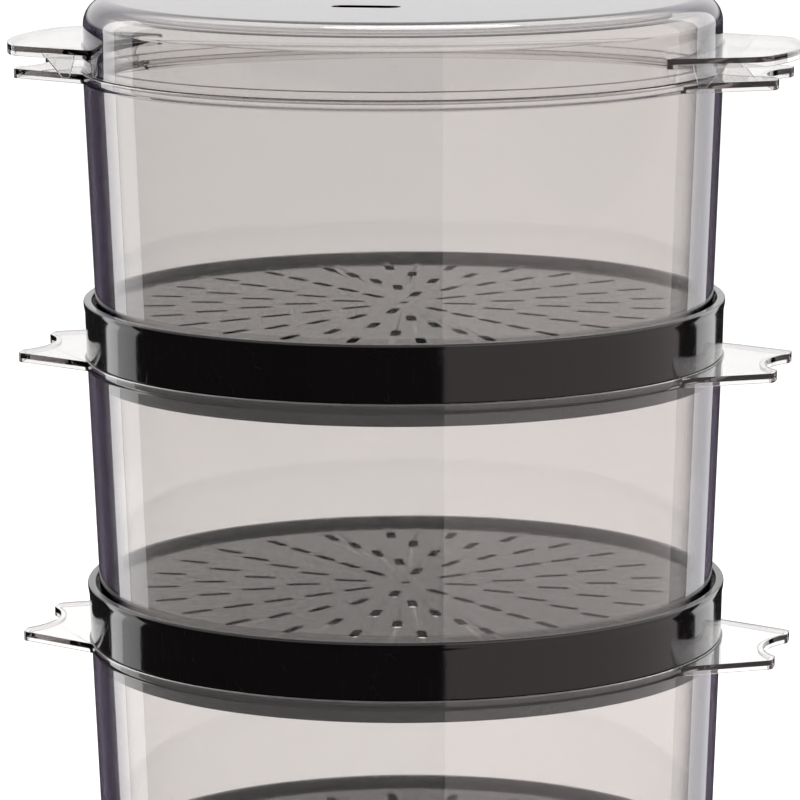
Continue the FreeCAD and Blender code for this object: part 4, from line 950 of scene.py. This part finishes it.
bowl = makeBowl()
for tier in (1, 2, 3):
    copy = raisedCopy(bowl, "clearBowl%d" % tier, rimHeights[tier])
    dress(copy, [smoky, plateClear], "bowl_body_%d" % tier, ["bowl_%d" % tier], choose=plateFaces)
bpy.data.objects.remove(bowl, do_unlink=True)
print("bowls made")


# Black steam trays

trayShape = {"lipR": 112.5, "bodyR": 112.0, "footR": 111.6, "height": 19.9, "skirtR": 108.5,
             "skirtT": 2.3, "skirtDepth": 8.0, "channelOut": 109.41, "channelIn": 105.2, "channel": 8.0,
             "floorDrop": 2.5, "floorT": 2.2, "innerWall": 2.0, "web": 2.2, "wall": 2.4}
slotShape = {"width": 3.4, "length": 12.0, "rows": 5, "firstR": 20.0, "rowStep": 16.5,
             "firstCount": 8, "countStep": 4, "bevel": 0.45}


def makeTray():
    t = trayShape
    top = t["height"]
    floorTop = top - t["floorDrop"]
    floorLow = floorTop - t["floorT"]
    channel = top - t["channel"]
    tray = lathe("tray", roundOutline([
        (t["skirtR"] - t["skirtT"], -t["skirtDepth"], 0.5),
        (t["skirtR"], -t["skirtDepth"], 0.5),
        (t["skirtR"], 0.0, 0.0),
        (t["footR"], 0.0, 0.5),
        (t["bodyR"], top - 4.4, 0.0),
        (t["lipR"], top - 1.6, 0.5),
        (t["lipR"], top, 0.75),
        (t["channelOut"] + 0.3, top, 0.5),
        (t["channelOut"], top - 1.2, 0.0),
        (t["channelOut"], channel, 0.0),
        (t["channelIn"], channel, 0.0),
        (t["channelIn"], floorTop, 0.8),
        (0.0, floorTop, 0.0),
        (0.0, floorLow, 0.0),
        (t["channelIn"] - t["innerWall"], floorLow, 0.0),
        (t["channelIn"] - t["innerWall"], channel - t["web"], 0.0),
        (t["bodyR"] - t["wall"], channel - t["web"], 0.0),
        (t["footR"] - t["wall"], t["web"], 0.0),
        (t["skirtR"] - t["skirtT"], t["web"], 0.0),
    ], 4), 240)
    s = slotShape
    bm = bmesh.new()
    places = [(0.0, 0.0, 0.0, s["width"])]
    for row in range(s["rows"]):
        radius = s["firstR"] + row * s["rowStep"]
        count = s["firstCount"] + row * s["countStep"]
        for i in range(count):
            angle = math.radians(360.0 * (i + 0.5 * (row % 2)) / count)
            places.append((radius * math.cos(angle), radius * math.sin(angle), angle, s["length"]))
    for x, y, angle, length in places:
        outline = slotOutline(max(length, s["width"] + 0.01), s["width"])
        turned = [(x + px * math.cos(angle) - py * math.sin(angle),
                   y + px * math.sin(angle) + py * math.cos(angle)) for px, py in outline]
        addPrism(bm, [(px, py, floorLow - past) for px, py in turned],
                 [(px, py, floorTop + past) for px, py in turned])
    combine(tray, [newObject("slots", bm)], "DIFFERENCE")
    bm = bmesh.new()
    bm.from_mesh(tray.data)

    def slotEdge(edge):
        level = all(abs(v.co.z / mm - floorTop) < 0.01 or abs(v.co.z / mm - floorLow) < 0.01
                    for v in edge.verts)
        return level and all(math.hypot(v.co.x, v.co.y) < (t["channelIn"] - 3.0) * mm for v in edge.verts)

    easeEdges(bm, s["bevel"], 2, slotEdge)
    bm.to_mesh(tray.data)
    bm.free()
    return tray


def skirtFaces(centre):
    # The skirt that drops inside the bowl is left less shiny
    inside = math.hypot(centre.x, centre.y) < (trayShape["skirtR"] + 0.5) * mm
    return 1 if inside and centre.z < 0.1 * mm else 0


tray = makeTray()
for tier in (1, 2, 3):
    copy = raisedCopy(tray, "steamTray%d" % tier, 0.0)
    dress(copy, [gloss, satin], "tray_body_%d" % tier, [], choose=skirtFaces)
    copy.data.transform(Matrix.Translation((0, 0, rimHeights[tier - 1] * mm)))
    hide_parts("steam_tray_%d" % tier)
bpy.data.objects.remove(tray, do_unlink=True)
print("steam trays made")


# Clear lid

lidShape = {"height": 25.0, "footR": 111.5, "sideR": 111.2, "wall": 2.2, "shoulder": 9.0,
            "skirtR": 108.5, "skirtT": 2.0, "skirtDepth": 1.6, "step": 2.8}
wingShape = {"rootR": 110.1, "rootX": 98.0, "rootW": 49.4, "cornerX": 131.0, "cornerW": 36.0,
             "tipX": 139.8, "top": 8.8, "plate": 2.0, "lipH": 3.5, "lipT": 1.8, "turn": 4.8,
             "endSpan": 0.86, "bevel": 0.35}
ribShape = {"y": 38.85, "thick": 1.6, "footX": 109.5, "footL": 2.5, "topIn": 107.0, "topOut": 119.5,
            "low": -1.6, "sunk": 0.4, "bevel": 0.3}
ventShape = {"length": 24.0, "width": 9.0, "x": -3.2, "y": 47.0}


def wingOutline(w):
    x, y = sideStart(w["rootX"], w["rootW"], w["cornerX"], w["cornerW"], w["rootR"])
    rise = w["tipX"] - w["cornerX"]
    radius = (w["cornerW"] ** 2 + rise ** 2) / (2 * rise)
    centreX = w["tipX"] - radius
    spread = math.degrees(math.asin(w["cornerW"] / radius)) * w["endSpan"]
    end = arcBetween((centreX, 0), radius, -spread, spread, 24)
    points = [(x, -y)]
    points += softCorner((x, -y), (w["cornerX"], -w["cornerW"]), end[0], w["turn"], 8)
    points += end
    points += softCorner(end[-1], (w["cornerX"], w["cornerW"]), (x, y), w["turn"], 8)
    points.append((x, y))
    rootDeg = math.degrees(math.atan2(y, x))
    points += arcBetween((0, 0), w["rootR"], rootDeg, -rootDeg, 28)[1:-1]
    return points


def makeRib(side):
    r = ribShape
    high = wingShape["top"] - wingShape["plate"] + r["sunk"]
    corners = [(r["topIn"], high), (r["footX"], r["low"]), (r["footX"] + r["footL"], r["low"]),
               (r["topOut"], high)]
    middle = side * (r["y"] + r["thick"] / 2)
    near, far = middle - r["thick"] / 2, middle + r["thick"] / 2
    bm = bmesh.new()
    addPrism(bm, [(px, near, pz) for px, pz in corners], [(px, far, pz) for px, pz in corners])
    bmesh.ops.recalc_face_normals(bm, faces=bm.faces)
    easeEdges(bm, r["bevel"], 2)
    return newObject("rib", bm)


def makeLid():
    c = lidShape
    top = c["height"]
    wall = c["wall"]
    shoulder = arcBetween((c["sideR"] - c["shoulder"], top - c["shoulder"]), c["shoulder"], 0, 90, 30)
    inside = arcBetween((c["sideR"] - c["shoulder"], top - c["shoulder"]), c["shoulder"] - wall, 90, 0, 24)
    foot = roundOutline([
        (c["footR"] - wall, c["step"], 0.3),
        (c["skirtR"] - c["skirtT"], c["step"], 0.5),
        (c["skirtR"] - c["skirtT"], -c["skirtDepth"], 0.5),
        (c["skirtR"], -c["skirtDepth"], 0.5),
        (c["skirtR"], 0.0, 0.2),
        (c["footR"], 0.0, 0.5),
    ], 4)
    outline = foot + shoulder + [(0.0, top), (0.0, top - wall)] + inside
    lid = lathe("clearLid", outline, 240)
    w = wingShape
    wing = lippedPlate("wing", wingOutline(w), w["top"], w["plate"], w["lipH"], w["lipT"], w["bevel"])
    combine(wing, [makeRib(1), makeRib(-1)], "UNION")
    combine(lid, [wing, turnedCopy(wing, 180)], "UNION")
    v = ventShape
    vents = []
    for side in (-1, 1):
        outline = [(px - side * v["x"], py + side * v["y"])
                   for px, py in slotOutline(v["length"], v["width"], 10)]
        vents.append(slab("vent", outline, top - wall - past, top + past))
    return combine(lid, vents, "DIFFERENCE")


lid = makeLid()
lid.data.transform(Matrix.Translation((0, 0, rimHeights[3] * mm)))
dress(lid, [smoky, plateClear], "lid_body", ["lid"], choose=plateFaces)
print("lid made")


# Studio: floor, soft light and camera

studio = {
    "floorSize": 60.0, "worldUp": 1.05, "worldDown": 0.02, "floorGlow": 0.22,
    "leftStrip": {"azimuth": -126.0, "distance": 1.25, "width": 0.22, "height": 1.7, "radiance": 2.4},
    "leftFill": {"azimuth": -114.5, "distance": 1.25, "width": 0.27, "height": 1.7, "radiance": 1.4},
    "rightStrip": {"azimuth": 136.0, "distance": 1.25, "width": 0.46, "height": 1.7, "radiance": 1.6},
    "rightPanel": {"azimuth": 64.0, "distance": 1.9, "width": 4.6, "height": 3.2, "radiance": 0.85,
                   "colour": (1.0, 0.88, 0.88)},
    "topLight": {"size": 0.9, "height": 2.1, "radiance": 4.0},
    "cameraTurn": 11.46, "cameraPitch": 9.716, "cameraDistance": 1.7507, "cameraLens": 223.5,
    "cameraRoll": 0.30, "aimHeight": 0.2802, "aimRight": -0.0017,
}


def makeFloor():
    half = studio["floorSize"] / 2
    mesh = bpy.data.meshes.new("floor")
    mesh.from_pydata([(-half, -half, 0), (half, -half, 0), (half, half, 0), (-half, half, 0)], [],
                     [(0, 1, 2, 3)])
    floor = bpy.data.objects.new("floor", mesh)
    scene.collection.objects.link(floor)
    material, tree, output, shader, place = newMaterial("floorPale")
    grain = useGroup(tree, grainGroup, place, Scale=240.0)
    join(tree, twoColours(tree, grain.outputs["Mask"], (0.86, 0.86, 0.86), (0.88, 0.88, 0.88)),
         shader.inputs["Base Color"])
    shader.inputs["Roughness"].default_value = 0.9
    shader.inputs["Specular IOR Level"].default_value = 0.0
    shader.inputs["Emission Color"].default_value = (1.0, 1.0, 1.0, 1.0)
    shader.inputs["Emission Strength"].default_value = studio["floorGlow"]
    join(tree, shader.outputs["BSDF"], output.inputs["Surface"])
    mesh.materials.append(material)
    floor.visible_glossy = False


def makeWorld():
    world = bpy.data.worlds.new("studio")
    scene.world = world
    world.use_nodes = True
    tree = world.node_tree
    tree.nodes.clear()
    output = tree.nodes.new("ShaderNodeOutputWorld")
    back = tree.nodes.new("ShaderNodeBackground")
    place = tree.nodes.new("ShaderNodeTexCoord")
    parts = tree.nodes.new("ShaderNodeSeparateXYZ")
    join(tree, place.outputs["Generated"], parts.inputs["Vector"])
    fade = mapped(tree, parts.outputs["Z"], -0.02, 0.06, studio["worldDown"], studio["worldUp"],
                  interpolation_type="SMOOTHSTEP")
    join(tree, fade, back.inputs["Strength"])
    back.inputs["Color"].default_value = (1.0, 0.995, 0.99, 1.0)
    join(tree, back.outputs["Background"], output.inputs["Surface"])


def fromCamera(azimuth, distance, height):
    # A place round the object, by its angle from the camera's side (positive towards the right)
    angle = math.radians(studio["cameraTurn"] + azimuth)
    return Vector((distance * math.sin(angle), -distance * math.cos(angle), height))


def makeLight(name, shape, width, area, radiance, place, aim):
    # Soft light that the camera sees neither directly nor through the clear walls
    light = bpy.data.lights.new(name, "AREA")
    light.shape = shape
    light.size = width
    light.energy = radiance * math.pi * area
    holder = bpy.data.objects.new(name, light)
    scene.collection.objects.link(holder)
    holder.location = place
    holder.rotation_mode = "QUATERNION"
    holder.rotation_quaternion = aim.to_track_quat("-Z", "Y")
    holder.visible_camera = False
    holder.visible_transmission = False
    return holder


def makePanel(name, azimuth, distance, width, height, radiance, colour=(1.0, 1.0, 1.0)):
    place = fromCamera(azimuth, distance, 0.3)
    inward = -Vector((place.x, place.y, 0.0)).normalized()
    panel = makeLight(name, "RECTANGLE", width, width * height, radiance, place, inward)
    panel.data.size_y = height
    panel.data.color = colour


def makeTopLight():
    t = studio["topLight"]
    place = fromCamera(170.0, 0.5, t["height"])
    area = math.pi * t["size"] ** 2 / 4
    makeLight("topLight", "DISK", t["size"], area, t["radiance"], place,
                       Vector((0, 0, 0.4)) - place)


def makeCamera():
    camera = bpy.data.cameras.new("camera")
    camera.lens = studio["cameraLens"]
    camera.sensor_width = 36.0
    camera.clip_start = 0.05
    camera.clip_end = 100.0
    holder = bpy.data.objects.new("camera", camera)
    scene.collection.objects.link(holder)
    turn = math.radians(studio["cameraTurn"])
    pitch = math.radians(studio["cameraPitch"])
    back = Vector((math.sin(turn) * math.cos(pitch), -math.cos(turn) * math.cos(pitch), math.sin(pitch)))
    right = Vector((math.cos(turn), math.sin(turn), 0.0))
    aim = Vector((0.0, 0.0, studio["aimHeight"])) + right * studio["aimRight"]
    holder.location = aim + back * studio["cameraDistance"]
    level = Euler((math.pi / 2 - pitch, 0.0, turn)).to_quaternion()
    roll = Quaternion((0.0, 0.0, 1.0), math.radians(-studio["cameraRoll"]))
    holder.rotation_mode = "QUATERNION"
    holder.rotation_quaternion = level @ roll
    scene.camera = holder


makeFloor()
makeWorld()
for key in ("leftStrip", "leftFill", "rightStrip", "rightPanel"):
    makePanel(key, **studio[key])
makeTopLight()
makeCamera()
scene.view_settings.view_transform = "Standard"
scene.view_settings.look = "None"
scene.cycles.max_bounces = 24
scene.cycles.transmission_bounces = 24
scene.cycles.transparent_max_bounces = 24
scene.cycles.glossy_bounces = 8
scene.cycles.caustics_reflective = False
print("studio made")
